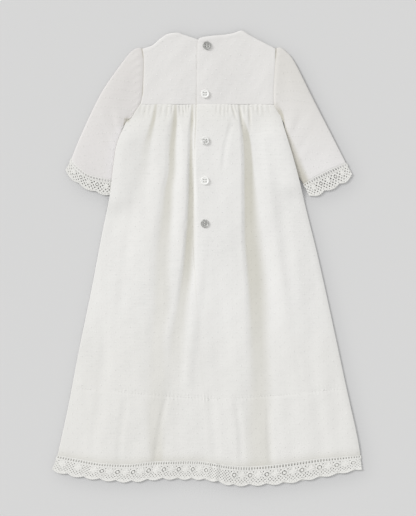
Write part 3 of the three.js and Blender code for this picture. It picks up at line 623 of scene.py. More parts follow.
# painted shade over the left sleeve, lighter towards its inner edge, with the underarm and the armhole seam
def leftSleeveShade(x, y):
    share, more, start, reach, inner = shades["leftSleeve"]
    under, underReach = shades["leftUnder"]
    beside = ease((leftX(y) - x) / inner + clamp01((y - under) / underReach))
    over = (share + more * ease((y - start) / reach)) * beside
    return 1 - (1 - over) * (1 - underarmPaintedShade(x, y)) * (1 - armholeShade(x, y))


# painted shade over the right sleeve's upper part and along the skirt's side, with the armhole seam
def rightSleeveShade(x, y):
    share, start, reach = shades["rightSleeve"]
    floorTo, end, deep = (line(y) for line in wedge)
    out = x - rightX(y)
    beside = deep * ease((end - out) / (end - floorTo))
    return 1 - (1 - share * clamp01((y - start) / reach)) * (1 - beside) * (1 - armholeShade(x, y))


backWaves = [(70, 0.3), (34, 0.16), (15, 0.07)]
backWaveState = chance.bit_generator.state


def backSkirtTop(x, y):
    chance.bit_generator.state = backWaveState  # the same waves each time
    inside = ease(np.minimum(x - leftX(y), rightX(y) - x) / skirt["calmEdge"])
    uneven = ripple(x, y * skirt["waveStretch"], backWaves) * inside * ease((body["seamY"] - y) / skirt["calmTop"])
    roundness = skirt["rollRoundness"]
    rollReach, rollDepth = skirt["hemRoll"]
    hemSeam = -rollDepth * clamp01(1 - (y - hemY(x)) / rollReach) ** roundness
    turnReach, turnDepth = skirt["rightTurn"]
    side = -turnDepth * clamp01(1 - (rightX(y) - x) / turnReach) ** roundness
    seamDepth, seamReach = skirt["yokeSeam"]
    yokeSeam = -seamDepth * ease(1 - (body["seamY"] - y) / seamReach)
    relief = gatherRelief(x, y) + creaseRelief(x, y) * inside + deepHemRelief(x, y)
    return skirtUnder(x, y) + body["wall"] + relief + uneven + hemSeam + yokeSeam + side


def lapEdge(x, y):
    # the over side's edge is pressed down a little
    depth, reach = skirt["lapEdge"]
    return -depth * ease(1 - (x - overX(y)) / reach)


def rightSkirtTop(x, y):
    gone, fade = skirt["lapFade"]
    return backSkirtTop(x, y) + lapLift(x, y) + lapEdge(x, y) * ease((y - gone) / fade)


def panelGrid(lines, counts, rows=skirt["rows"]):
    # points of a skirt panel between the lines that it follows, from the yoke seam down to the hem
    shares = []
    for segment, count in enumerate(counts):
        steps = np.arange(count + (segment == len(counts) - 1)) / count
        shares += [(segment, step) for step in steps]
    down = (np.arange(rows + 1) / rows) ** skirt["rowCrowding"]
    xs, ys = [], []
    for segment, share in shares:
        def across(y, a=lines[segment], b=lines[segment + 1], s=share):
            return mix(a(y), b(y), s)
        bottom = hemY(across(mix(body["seamY"], body["hemMiddleY"], down)))
        y = mix(body["seamY"] - skirt["seamGap"], bottom, down)
        xs.append(across(y))
        ys.append(y)
    return np.stack(xs, axis=1), np.stack(ys, axis=1)


def wrapSide(grid, left=None, right=None):
    # more columns that turn an edge down: (outwards, down) steps from it; a held column keeps the turn crisp
    nearLeft, nearRight = mix(grid[:, 0], grid[:, 1], 0.08), mix(grid[:, -1], grid[:, -2], 0.08)
    parts = [grid[:, :1], nearLeft[:, None], grid[:, 1:-1], nearRight[:, None], grid[:, -1:]]
    if left:
        parts.insert(0, np.stack([grid[:, 0] + [-out, 0, -drop] for out, drop in reversed(left)], axis=1))
    if right:
        parts.append(np.stack([grid[:, -1] + [out, 0, -drop] for out, drop in right], axis=1))
    return np.concatenate(parts, axis=1)


def tuckTop(grid, up=2.0, drop=0.8):
    # one more row that runs up under the piece above
    near = mix(grid[:1], grid[1:2], 0.15)
    return np.concatenate([grid[:1] + [0, up, -drop], grid[:1], near, grid[1:]], axis=0)


def underLace(grid, down=4.6, drops=(0.4, 0.7)):
    # the hem's cloth runs on a little way under the lace's heading
    near = mix(grid[-1:], grid[-2:-1], 0.12)
    steps = [grid[-1:] + [0, -0.25, -drops[0]], grid[-1:] + [0, -down, -drops[1]]]
    grid = np.concatenate([grid[:-1], near, grid[-1:]] + steps, axis=0)
    if drops[0] > 0:
        grid[..., 2] = np.maximum(grid[..., 2], cloth["shellThickness"] + 0.05)
    return grid


roundedSide = [(0.35, 0.35), (0.5, 0.9), (0.35, 1.5)]
foldedEdge = [(0.15, 0.25), (0.15, 0.6)]
tuckedEdge = [(0.5, 0.12), (2.4, 0.7)]  # runs on under the other side of the back

x, y = panelGrid([leftX, lambda y: mix(leftX(y), underX(y), 0.33), lambda y: mix(leftX(y), underX(y), 0.66),
                  underX], [28, 34, 38])
leftGrid = wrapSide(np.stack([x, y, backSkirtTop(x, y)], axis=-1), left=roundedSide, right=tuckedEdge)
skirtBackLeft = clothShell("skirt_back_left", underLace(tuckTop(leftGrid)), skirtLawn, paintedShade=skirtShade)

x, y = panelGrid([overX, lambda y: mix(overX(y), rightX(y), 0.5), rightX], [62, 52])
rightGrid = wrapSide(np.stack([x, y, rightSkirtTop(x, y)], axis=-1), left=foldedEdge, right=roundedSide)
skirtBackRight = clothShell("skirt_back_right", underLace(tuckTop(rightGrid)), skirtLawn, paintedShade=skirtShade)

# front of the skirt, which the gown lies on: its outside is its underside
frontGathers = [(x, x + 2, 30 + 40 * abs(math.sin(x)), 0.5, 4, 4) for x in range(-92, 100, 9)]


def frontSkirtUnder(x, y):
    down = body["seamY"] - y
    relief = 0
    for top, end, length, depth, leftWidth, rightWidth in frontGathers:
        t = down / length
        strength = gatherStrength(t, skirt["frontGatherFade"])
        relief = relief + depth * strength * swell(x - mix(top, end, t), leftWidth, rightWidth)
    return skirt["frontFloor"] + sleeveLift(x, y) + relief


x, y = panelGrid([lambda y: leftX(y) + skirt["frontInset"], lambda y: (leftX(y) + rightX(y)) / 2,
                  lambda y: rightX(y) - skirt["frontInset"]], [60, 60], skirt["frontRows"])
frontGrid = underLace(np.stack([x, y, frontSkirtUnder(x, y)], axis=-1)[:, ::-1], drops=(-0.15, -0.3))
skirtFront = clothShell("skirt_front", frontGrid, skirtLawn)
print("skirt is made")


# yoke: plain and nearly flat, with the right side lapped over the left
yoke = dict(
    backZ=1.5, columns=90, rows=64, seamGap=0.15, floor=0.02, calmEdge=12,
    neckRoll=(0.45, 1.6), neckRib=(0.25, 5, 2.5), seamDip=(0.3, 1.3), armholeDip=(0.4, 1.8),
    leftNeck=[(-96.5, 314.3), (-82, 319), (-68.3, 330.2), (-57, 337), (-44.4, 338.7), (-33.8, 335.6),
              (-21.6, 331.5), (-6, 327), (12, 325)],
    rightNeck=[(-14, 327.5), (-10.5, 330.6), (7.6, 333.9), (27, 335.6), (39.5, 338), (51.5, 341.6),
               (66, 333.8), (86.7, 323.3), (104, 314.3)],
    frontNeck=[(-96.5, 314), (-82, 318.6), (-68.3, 329.8), (-57, 335.5), (-46, 330), (-30, 308), (0, 296),
               (34, 310), (50, 337), (66, 333.2), (86.7, 322.9), (104, 314)],
)
yokeWaves = [(60, 0.22), (26, 0.1), (12, 0.04)]
yokeWaveState = chance.bit_generator.state


def yokeRelief(x, y, neckY):
    chance.bit_generator.state = yokeWaveState  # the same waves each time
    (roll, rollReach), (rib, ribAt, ribWidth) = yoke["neckRoll"], yoke["neckRib"]
    (dip, dipReach), (side, sideReach) = yoke["seamDip"], yoke["armholeDip"]
    rolled = -roll * ease(1 - (neckY - y) / rollReach) + rib * swell(neckY - y - ribAt, ribWidth, ribWidth)
    seam = -dip * ease(1 - (y - body["seamY"]) / dipReach)
    armhole = np.minimum(x - leftX(y), rightX(y) - x)
    sides = -side * ease(1 - armhole / sideReach)
    return rolled + seam + sides + ripple(x, y, yokeWaves) * ease(armhole / yoke["calmEdge"])


def yokeGrid(neck, leftEdge, rightEdge, height):
    neckLine = lineThrough(neck)
    share = np.linspace(0, 1, yoke["columns"] + 1)[None, :]
    down = np.linspace(0, 1, yoke["rows"] + 1)[:, None]
    topX = mix(leftEdge(neck[0][1]), rightEdge(neck[-1][1]), share)
    y = mix(neckLine(topX), body["seamY"] + yoke["seamGap"], down)
    x = mix(leftEdge(y), rightEdge(y), share)
    return np.stack([x, y, height(x, y, np.broadcast_to(neckLine(topX), y.shape))], axis=-1)


def leftYokeTop(x, y, neckY):
    return yoke["backZ"] + body["wall"] + yokeRelief(x, y, neckY)


def rightYokeTop(x, y, neckY):
    return leftYokeTop(x, y, neckY) + lapLift(x, y) + lapEdge(x, y)


def frontYokeUnder(x, y, neckY):
    return yoke["floor"] + 0 * x


yokeLeftGrid = yokeGrid(yoke["leftNeck"], leftX, lambda y: body["underX"] + 0 * y, leftYokeTop)
yokeBackLeft = clothShell("yoke_back_left", yokeLeftGrid, yokeLawn, paintedShade=yokeShade)
yokeRightGrid = wrapSide(yokeGrid(yoke["rightNeck"], overX, rightX, rightYokeTop), left=foldedEdge)
yokeBackRight = clothShell("yoke_back_right", yokeRightGrid, yokeLawn, paintedShade=yokeShade)
yokeFrontGrid = yokeGrid(yoke["frontNeck"], leftX, rightX, frontYokeUnder)[:, ::-1]
yokeFront = clothShell("yoke_front", yokeFrontGrid, yokeLawn)
print("yoke is made")


# sleeves: flat tubes, each set into its armhole
sleeves = dict(  # the seams are (depth, reach), the allowance under the armhole is (inwards, lower, raised)
    height=dict(armhole=2.9, elbow=4.2, cuff=3.2), elbow=(0.4, 0.5), fullness=1.08, roundness=0.6,
    ring=96, rows=96, bow=0.4, gap=0.5, floor=0.02, length=120, headSeam=(0.45, 2.4), cuffSeam=(0.2, 2),
    allowance=(2.2, 0.9, 0.7), tuck=dict(length=4.2, steps=[(0.12, 0.45), (1, 0.75)], under=0.4),
    tuftLength=178.0, tuftInset=4, armholeTopY=315, underarmY=dict(left=211, right=214),
    left=dict(
        outer=[(-103, 315.8), (-112, 310.7), (-124.7, 295.8), (-158, 247.5), (-187.8, 185.6), (-202, 150.5)],
        inner=[(-119.8, 205.8), (-124.6, 196.5), (-127.2, 186), (-131, 162), (-134.8, 134), (-136, 118)],
        cuff=[(-195.5, 140.5), (-177.5, 126.5), (-156, 121)],
        lace=[(-213, 130), (-194.7, 112), (-176.3, 102), (-158, 95.6), (-138, 94.5)],
    ),
    right=dict(
        outer=[(110, 316.5), (119, 310.5), (132.6, 293.4), (162.5, 233.7), (190.5, 179.5), (209, 143)],
        inner=[(114.6, 206.5), (117.6, 197), (118, 186), (123.5, 158), (130, 136), (145.2, 112)],
        cuff=[(198.5, 139.5), (180.5, 131.5), (160, 121)],
        lace=[(219.8, 124.5), (206, 111.5), (187, 102.5), (170, 95), (154.8, 91.5)],
    ),
)
sleeveCreases = [  # (along, across, rise, length, width): the ones in the solid, then smaller ones
    (0.34, 0.75, 0.35, 0.09, 0.4), (0.55, 0.3, 0.3, 0.08, 0.35), (0.72, 0.7, 0.25, 0.07, 0.4),
    (0.44, 0.55, -0.25, 0.06, 0.3), (0.2, 0.3, 0.25, 0.12, 0.22), (0.84, 0.35, -0.2, 0.06, 0.3),
    (0.63, 0.6, -0.2, 0.06, 0.28),
]
sleeveCap = dict(height=0.7, start=0.05, reach=0.16, gathers=9)


class SleeveShape:
    def __init__(self, side):
        table = sleeves[side]
        self.side = side
        self.bodyX = leftX if side == "left" else rightX
        self.away = -1 if side == "left" else 1
        self.outer = curveThrough([self.armhole(0.0)] + table["outer"])
        self.inner = curveThrough([self.armhole(1.0)] + table["inner"])
        self.cuff = curveThrough([table["outer"][-1]] + table["cuff"] + [table["inner"][-1]])
        self.lace = curveThrough(table["lace"])

    def armhole(self, across):
        y = mix(sleeves["armholeTopY"], sleeves["underarmY"][self.side], across)
        x = self.bodyX(y) + self.away * sleeves["gap"]
        return np.stack([x, y], axis=-1) if np.ndim(y) else (float(x), float(y))

    def point(self, along, across):
        # straight across, but bowed at the armhole and at the cuff
        across = np.asarray(across, float)
        atArmhole = 1 - ease(along / sleeves["bow"])
        atCuff = ease((along - 1 + sleeves["bow"]) / sleeves["bow"])

        def bow(line):
            return line(across) - mix(np.array(line(0.0)), np.array(line(1.0)), across[..., None])

        straight = mix(self.outer(along), self.inner(along), across[..., None])
        return straight + bow(lambda s: np.array(self.armhole(s))) * atArmhole + bow(self.cuff) * atCuff


def sleeveHeight(along):
    tall, (start, end) = sleeves["height"], sleeves["elbow"]
    toElbow = mix(tall["armhole"], tall["elbow"], ease(along / start))
    return mix(toElbow, tall["cuff"], ease((along - end) / (1 - end)))


def sleeveRelief(along, across):
    head = (1 - ease(along / sleeveCap["reach"])) * ease(along / sleeveCap["start"])
    rise = sleeveCap["height"] * head * (1 + np.cos(math.tau * sleeveCap["gathers"] * across)) / 2
    for at, beside, height, length, width in sleeveCreases:
        rise = rise + height * swell(along - at, length, length) * swell(across - beside, width, width)
    return rise


lawns = dict(left=leftSleeveLawn, right=rightSleeveLawn)
sleeveShades = dict(left=leftSleeveShade, right=rightSleeveShade)


def makeSleeve(side):
    shape = SleeveShape(side)
    ring = sleeves["ring"]
    angle = np.arange(ring) * math.tau / ring * (1 if side == "left" else -1)
    across = (1 - np.cos(angle)) / 2
    full = sleeves["fullness"] * np.abs(np.sin(angle)) ** sleeves["roundness"]
    level = np.sign(np.sin(angle)) * np.minimum(1, full)
    over = level > 0
    (head, headReach), (cuff, cuffReach) = sleeves["headSeam"], sleeves["cuffSeam"]
    inward, lower, raised = sleeves["allowance"]
    rows = []
    for r in range(sleeves["rows"] + 1):
        along = r / sleeves["rows"]
        flat = shape.point(along, across)
        relief = np.where(over, level * sleeveRelief(along, across), 0)
        seam = -head * (1 - ease(along * sleeves["length"] / headReach))
        seam -= cuff * ease((along - 1) * sleeves["length"] / cuffReach + 1)
        z = sleeveHeight(along) / 2 * (1 + level) + relief + np.where(over, seam, 0)
        if r == 0:  # the seam allowance runs on under the armhole's edge
            rows.append(np.column_stack([flat - [shape.away * inward, 0], np.where(over, z - lower, z + raised)]))
        rows.append(np.column_stack([flat, np.maximum(z, sleeves["floor"])]))
    tuck, last = sleeves["tuck"], rows[-1]
    ahead = last[:, :2] - rows[-2][:, :2]
    ahead *= tuck["length"] / np.linalg.norm(ahead, axis=1)[:, None]
    rise = np.where(over, level, -tuck["under"] * (level < 0))[:, None]
    for share, drop in tuck["steps"]:  # and runs on under the cuff lace's heading
        rows.append(np.column_stack([last[:, :2] + ahead * share, last[:, 2:] - drop * rise]))
    piece = clothShell(f"sleeve_{side}", np.stack(rows), lawns[side], closed=True, paintedShade=sleeveShades[side])
    return piece, shape


sleeveLeft, leftShape = makeSleeve("left")
sleeveRight, rightShape = makeSleeve("right")
print("sleeves are made")


# lace: a ladder heading, flowers and ring eyelets in a diamond net, and a scalloped edge; sizes are a hem lace's
lace = dict(
    wall=1.0, scallopDepth=3.5, ladder=(0.5, 5.2), ladderBars=6, netPerRepeat=5, netTop=6.0,
    netWidth=dict(hem=1.88, cuff=2.2), cordWidth=1.3, thickness=0.36, ringRadius=4.2, ringWidth=1.6, dotRadius=2.0,
    flowerRadius=5.8, petals=8, petalWidth=3.3, motifDown=0.45, picots=9, plain=dict(hem=(10.2, 11.7), cuff=(9, 9)),
    firstRing=dict(hem=2.5, cuff=0.24), fullDepth=29, lift=0.12, netStep=0.9, cordSteps=9, edgeSteps=22, ringSteps=22,
    dotShape=[0.3, 0.85, 1, 1, 0.85, 0.3], knotShape=[0.5, 1.3, 0.6], petalShape=[0.35, 0.65, 0.9, 1, 0.85, 0.3],
    middle=1.6, middleShape=[0.4, 0.9, 1, 0.9, 0.4], spokes=4, knots=8, cuffRoundness=0.7, cuffHeading=(0.4, 0.35),
)
hemLaceRun = [(0, -233), (8, -44.3), (12, 40.1), (19, 221.4), (19.5, 233)]
frontLaceRun = [(0, -231.5), (19, 231.5)]
laceBottom = [(-233, -318.5), (-202, -326.9), (-171, -331.5), (-119, -336), (-63, -331.7), (-11, -332),
              (14, -335.3), (41, -341.7), (105, -339.3), (170, -329.3), (233, -316.5)]
laceJoin = dict(x=16, halfWidth=20, ripple=1.2, waves=3)
laceY = lineThrough(laceBottom)


def laceThreads(kind, repeats, depth, width, spot):
    # depth and width are the strip's and one repeat's in millimetres; spot(t, d) places t repeats along, d down
    scale = depth / lace["fullDepth"]
    parts = []
    lift = lace["lift"]
    dotShape, knotShape, petalShape, middleShape = (
        np.array(lace[shape]) for shape in ("dotShape", "knotShape", "petalShape", "middleShape"))

    def edgeAt(t):
        return depth - lace["scallopDepth"] * scale ** 0.5 * (1 - np.abs(np.sin(np.pi * t)))

    def thread(t, d, wide, thick, raise_=0.0, sides=4, closed=False):
        t, d = np.broadcast_arrays(np.asarray(t, float), np.asarray(d, float))
        line = spot(np.clip(t, 0, repeats), d)
        line[:, 2] += raise_
        parts.append(threadMesh(line, wide, thick, sides, closed))

    cord, thick = lace["cordWidth"] * scale**0.5, lace["thickness"]
    top, low = lace["ladder"][0] * scale, lace["ladder"][1] * scale
    run = np.linspace(0, repeats, int(repeats * lace["cordSteps"]) + 1)
    for d, wide in ((top, cord * 1.2), (low, cord), (low + 1.3 * scale, cord * 0.7)):
        thread(run, d, wide, thick, 0.1)
    for i in range(int(repeats * lace["ladderBars"]) + 1):
        thread([i / lace["ladderBars"]] * 2, [top, low + 1.2 * scale], cord * 1.55, thick * 0.8)

    motifD = depth * lace["motifDown"]
    ringR, flowerR = lace["ringRadius"] * scale, lace["flowerRadius"] * scale
    plain, end = lace["plain"][kind]  # where the lace is joined, and at its first end, it has no rings
    rings = [t for t in range(int(repeats) + 1)
             if lace["firstRing"][kind] < t < repeats - 0.24 and not plain < t < end]
    flowers = [t + 0.5 for t in range(int(repeats)) if t + 0.5 < repeats - 0.2 and not plain < t + 0.5 < end]

    def clear(t, d):
        # nothing of the net shows inside a ring or under a flower
        toRing = np.hypot((t - np.round(t)) * width, d - motifD)
        ringThere = np.isin(np.round(t), rings)
        toFlower = np.hypot((t - np.floor(t) - 0.5) * width, d - motifD)
        flowerThere = np.isin(np.floor(t) + 0.5, flowers)
        return ~(((toRing < ringR) & ringThere) | ((toFlower < flowerR * 0.7) & flowerThere))

    start, count = lace["netTop"] * scale, lace["netPerRepeat"]
    for way in (-1, 1):
        for i in range(-2 * count, int(repeats * count) + 2 * count):
            d = np.arange(start, depth, lace["netStep"])
            t = i / count + way * (d - start) / width
            keep = (t >= 0) & (t <= repeats) & (d < edgeAt(t) - 1.0) & clear(t, d)
            for piece in np.split(np.arange(len(d)), np.where(np.diff(keep.astype(int)) != 0)[0] + 1):
                if keep[piece[0]] and len(piece) > 1:
                    thread(t[piece], d[piece], lace["netWidth"][kind] * scale**0.5, thick * 0.7, 0.06 * way)

    turn = np.arange(lace["ringSteps"]) * math.tau / lace["ringSteps"]
    for t in rings:
        thread(t + ringR * np.cos(turn) / width, motifD + ringR * np.sin(turn), lace["ringWidth"] * scale,
               thick * 1.3, lift, 6, True)
        dot = lace["dotRadius"] * scale
        thread(t + np.linspace(-dot, dot, 6) / width, motifD, 2 * dot * dotShape, thick * 1.3, lift, 6)
        for spoke in range(lace["spokes"]):
            a = math.tau * (spoke + 0.5) / lace["spokes"]
            reach = np.array([dot * 0.8, ringR])
            thread(t + reach * math.cos(a) / width, motifD + reach * math.sin(a), 0.45, 0.4, lift * 0.5)
        for knot in range(lace["knots"]):
            a = math.tau * (knot + 0.25) / lace["knots"]
            reach = np.linspace(ringR + 0.3, ringR + 1.5 * scale, 3)
            thread(t + reach * math.cos(a) / width, motifD + reach * math.sin(a), knotShape * scale, thick, lift)
    for t in flowers:
        for petal in range(lace["petals"]):
            a = math.tau * (petal + 0.5) / lace["petals"]
            reach = np.linspace(0.6 * scale, flowerR, 6)
            wide = lace["petalWidth"] * scale * petalShape
            thread(t + reach * math.cos(a) / width, motifD + reach * math.sin(a), wide, thick * 1.2, lift * 1.5, 6)
        across = np.linspace(-lace["middle"], lace["middle"], 5) * scale / width
        thread(t + across, motifD, 3.0 * scale * middleShape, thick * 1.6, lift * 2.6, 6)

    fine = np.linspace(0, repeats, int(repeats * lace["edgeSteps"]) + 1)
    thread(fine, edgeAt(fine) - 1.1, cord * 1.2, thick * 1.2, lift, 6)
    thread(fine, edgeAt(fine) - 3.6 * scale, cord * 0.75, thick, 0.05)
    for i in range(int(repeats * lace["picots"])):
        a, b = i / lace["picots"], (i + 1) / lace["picots"]
        t = np.linspace(a, b, 5)
        thread(t, edgeAt(t) - 1.0 + 0.95 * np.sin(np.pi * (t - a) / (b - a)), 0.7 * scale**0.5, thick * 0.8, lift)
        thread([(a + b) / 2] * 2, [edgeAt((a + b) / 2) - 3.5 * scale, edgeAt((a + b) / 2) - 1.2], cord * 0.8,
               thick * 0.8)
    return joinParts(parts)


def hemSpot(run, inset, depth, height):
    runX = lineThrough(run)
    first, last = run[0][1], run[-1][1]

    def spot(t, d):
        bottomX = runX(t)
        share = (bottomX - first) / (last - first)
        topX = mix(leftX(body["hemMiddleY"]) + inset, rightX(body["hemMiddleY"]) - inset, share)
        down = d / depth
        topY = hemY(topX) - 0.3 * (1 + inset)
        bottomY = laceY(bottomX) + inset
        return np.stack([mix(topX, bottomX, down), mix(topY, bottomY, down), height(topX, down)], axis=-1)

    return spot


def backLaceHeight(x, down):
    joined = swell(x - laceJoin["x"], laceJoin["halfWidth"], laceJoin["halfWidth"])
    turn = np.pi * laceJoin["waves"] * (x - laceJoin["x"]) / laceJoin["halfWidth"]
    ripples = laceJoin["ripple"] * joined * (1 + np.cos(turn)) / 2
    seamed = backSkirtTop(x, hemY(x)) - body["wall"] + ripples
    return mix(seamed + 0.4, lace["wall"] + body["gap"] + ripples, ease(down)) + lace["wall"] / 2


def lowLaceHeight(x, down):
    # the lower layers lie flat on the table
    return lace["wall"] / 2 + 0 * x


def layLace(node, threads):
    return fitPiece(makePiece(f"{node}_threads", *threads, laceCotton, smooth=False), node)


strips = dict(  # (repeats, depth, one repeat's width)
    back=(19.5, 29.0, 23.6), front=(19, 27.5, 24.4), cuff=(3, 22.0, 25.0),
)
hemLaceBack = layLace("hem_lace_back", laceThreads(
    "hem", *strips["back"], hemSpot(hemLaceRun, 0, strips["back"][1], backLaceHeight)))
hemLaceFront = layLace("hem_lace_front", laceThreads(
    "hem", *strips["front"], hemSpot(frontLaceRun, 1, strips["front"][1], lowLaceHeight)))


def cuffSpot(shape, depth, inset, repeats, height):
    def spot(t, d):
        share = mix(inset, 1 - inset, t / repeats)
        across = share if shape.side == "left" else 1 - share
        top, bottom = shape.cuff(across), shape.lace(across)
        long = np.linalg.norm(bottom - top, axis=-1)
        down = mix(0.3, long * (1 - inset), d / depth) / long
        flat = mix(top, bottom, down[..., None])
        return np.concatenate([flat, height(across, d / depth)[..., None]], axis=-1)

    return spot


def overCuffHeight(across, down):
    level = sleeves["height"]["cuff"] - body["wall"] - lace["wall"] - body["gap"]
    rounding = np.sin(np.pi * clamp01(across)) ** lace["cuffRoundness"]
    height, reach = lace["cuffHeading"]
    onTop = height * rounding * (1 - ease(down / reach))  # its heading lies on the sleeve's end
    return lace["wall"] + body["gap"] + level * rounding * (1 - ease(down)) + onTop + lace["wall"] / 2


for shape in (leftShape, rightShape):
    for layer, inset, height in (("over", 0, overCuffHeight), ("under", 0.02, lowLaceHeight)):
        repeats, depth, width = strips["cuff"]
        threads = laceThreads("cuff", repeats, depth, width, cuffSpot(shape, depth, inset, repeats, height))
        layLace(f"cuff_lace_{shape.side}_{layer}", threads)
print("lace is made")


# tufts: small woven dots in staggered rows
tufts = dict(
    across=14.4, down=7.2, length=3.1, width=1.6, rise=0.26, pressed=0.12, sunk=0.15, wobble=(0.5, 0.6),
    uneven=0.16, sizes=(0.85, 1.12), rim=(0.62, 0.8), sides=10, margin=3.0,
)


def tuftMesh(places, heights, facing=1):
    parts = []
    sides = tufts["sides"]
    turn = np.arange(sides) * math.tau / sides
    height = tufts["rise"] if facing > 0 else -tufts["pressed"]  # pressed flat where the gown lies on them
    faces = ringFaces(2, sides) + [(sides + k, sides + (k + 1) % sides, 2 * sides) for k in range(sides)]
    if facing < 0:
        faces = [face[::-1] for face in faces]
    inward, upward = tufts["rim"]
    for (x, y), z in zip(places, heights):
        uneven = 1 + chance.uniform(-tufts["uneven"], tufts["uneven"], sides)
        size = chance.uniform(*tufts["sizes"])
        out = np.stack([np.cos(turn) * tufts["length"] / 2, np.sin(turn) * tufts["width"] / 2]) * uneven * size
        foot = np.stack([x + out[0], y + out[1], np.full(sides, z - tufts["sunk"] * facing)], axis=-1)
        rim = np.stack([x + out[0] * inward, y + out[1] * inward, z + height * upward * uneven], axis=-1)
        parts.append((np.concatenate([foot, rim, [[x, y, z + height]]]), faces))
    return joinParts(parts)


def tuftPlaces(low, high, inside):
    # rows from the top of a box down, each tuft a little off its place; only those inside the piece stay
    wobble, downShare = tufts["wobble"]
    places = []
    row = 0
    y = high[1]
    while y > low[1]:
        x = low[0] + (tufts["across"] / 2 if row % 2 else 0)
        while x < high[0]:
            spotX = x + chance.uniform(-wobble, wobble)
            spotY = y + chance.uniform(-wobble, wobble) * downShare
            if inside(spotX, spotY):
                places.append((spotX, spotY))
            x += tufts["across"]
        y -= tufts["down"]
        row += 1
    return np.array(places)


def layTufts(name, places, top, facing=1, shade=None):
    # top is each tuft's height, or what gives it at a place
    heights = top(places[:, 0], places[:, 1]) if callable(top) else top
    points, faces = tuftMesh(places, heights, facing)
    piece = makePiece(name, points, faces, tuftCotton)
    # painted shade on the tufts, where the cloth under them is shaded
    keepOnPoints(piece, "paintedShade", shade(points[:, 0], points[:, 1]) if shade else np.zeros(len(points)))
    return fitPiece(piece)


def yokeTufts(name, neck, low, high, leftEdge, rightEdge, gap, top, facing=1):
    neckLine, margin = lineThrough(yoke[neck]), tufts["margin"]
    places = tuftPlaces(low, high, lambda x, y: leftEdge(y) + margin < x < rightEdge(y) - gap
                        and y < neckLine(x) - margin)
    return layTufts(name, places, lambda x, y: top(x, y, neckLine(x)), facing)


margin = tufts["margin"]
leftPlaces = tuftPlaces((-230, -306), (12, 228), lambda x, y: leftX(y) + margin < x < underX(y) - 2
                        and x < overX(y) - 1.5 and y > hemY(x) + margin)
leftTufts = layTufts("skirt_back_left_tufts", leftPlaces, backSkirtTop, shade=skirtShade)
rightPlaces = tuftPlaces((-20, -308), (234, 228), lambda x, y: overX(y) + 2.5 < x < rightX(y) - margin
                         and y > hemY(x) + margin)
rightTufts = layTufts("skirt_back_right_tufts", rightPlaces, rightSkirtTop, shade=skirtShade)
frontPlaces = tuftPlaces((-230, -306), (232, 228), lambda x, y: leftX(y) + 8 < x < rightX(y) - 8
                         and y > hemY(x) + margin)
frontTufts = layTufts("skirt_front_tufts", frontPlaces, frontSkirtUnder, -1)
yokeLeftTufts = yokeTufts("yoke_back_left_tufts", "leftNeck", (-96, 234), (-16, 340),
                          leftX, overX, 2, leftYokeTop)
yokeRightTufts = yokeTufts("yoke_back_right_tufts", "rightNeck", (-14, 234), (104, 341),
                           overX, rightX, margin, rightYokeTop)


def sleeveTufts(shape, facing=1):
    # rows run across the sleeve; the two faces carry the same dots
    length, inset, places, heights = sleeves["tuftLength"], sleeves["tuftInset"], [], []
    for row in range(1, int(length / tufts["down"])):
        along = row * tufts["down"] / length
        wide = float(np.linalg.norm(shape.point(along, np.array([0.0])) - shape.point(along, np.array([1.0]))))
        start = inset + (tufts["across"] / 2 if row % 2 else 0)
        for off in np.arange(start, wide - inset, tufts["across"]):
            across = off / wide
            sine = math.sqrt(max(0.0, 1 - (1 - 2 * across) ** 2))
            level = min(1, sleeves["fullness"] * sine ** sleeves["roundness"])
            relief = level * sleeveRelief(along, across) if facing > 0 else 0
            places.append(tuple(shape.point(along, np.array([across]))[0]))
            heights.append(float(max(sleeves["floor"], sleeveHeight(along) / 2 * (1 + facing * level)) + relief))
    if facing < 0:
        return layTufts(f"sleeve_{shape.side}_under_tufts", places, heights, facing)
    return layTufts(f"sleeve_{shape.side}_tufts", places, heights, shade=sleeveShades[shape.side])


leftSleeveTufts, rightSleeveTufts = sleeveTufts(leftShape), sleeveTufts(rightShape)
yokeFrontTufts = yokeTufts("yoke_front_tufts", "frontNeck", (-96, 234), (104, 340),
                           leftX, rightX, margin, frontYokeUnder, -1)
leftUnderTufts, rightUnderTufts = sleeveTufts(leftShape, -1), sleeveTufts(rightShape, -1)
print("tufts are laid")


# stitches of the deep hem, small dashes that sink into their groove
stitches = []
stitchX, lastStitch = deepHem["stitched"]
while stitchX < lastStitch:
    if liveliness(stitchX) > deepHem["stitchShows"]:
        xs = stitchX + np.linspace(0, deepHem["stitchLength"], 4)
        ys = deepHemY(xs)
        zs = np.where(xs > overX(ys), rightSkirtTop(xs, ys), backSkirtTop(xs, ys)) + np.array(deepHem["stitchRise"])
        line = np.stack([xs, ys, zs], axis=-1)
        stitches.append(threadMesh(line, deepHem["stitchWidth"], deepHem["stitchThickness"], 6))
    stitchX += deepHem["stitchPitch"]
hemStitches = fitPiece(makePiece("deep_hem_stitches", *joinParts(stitches), sewingThread))
print("deep hem is stitched")


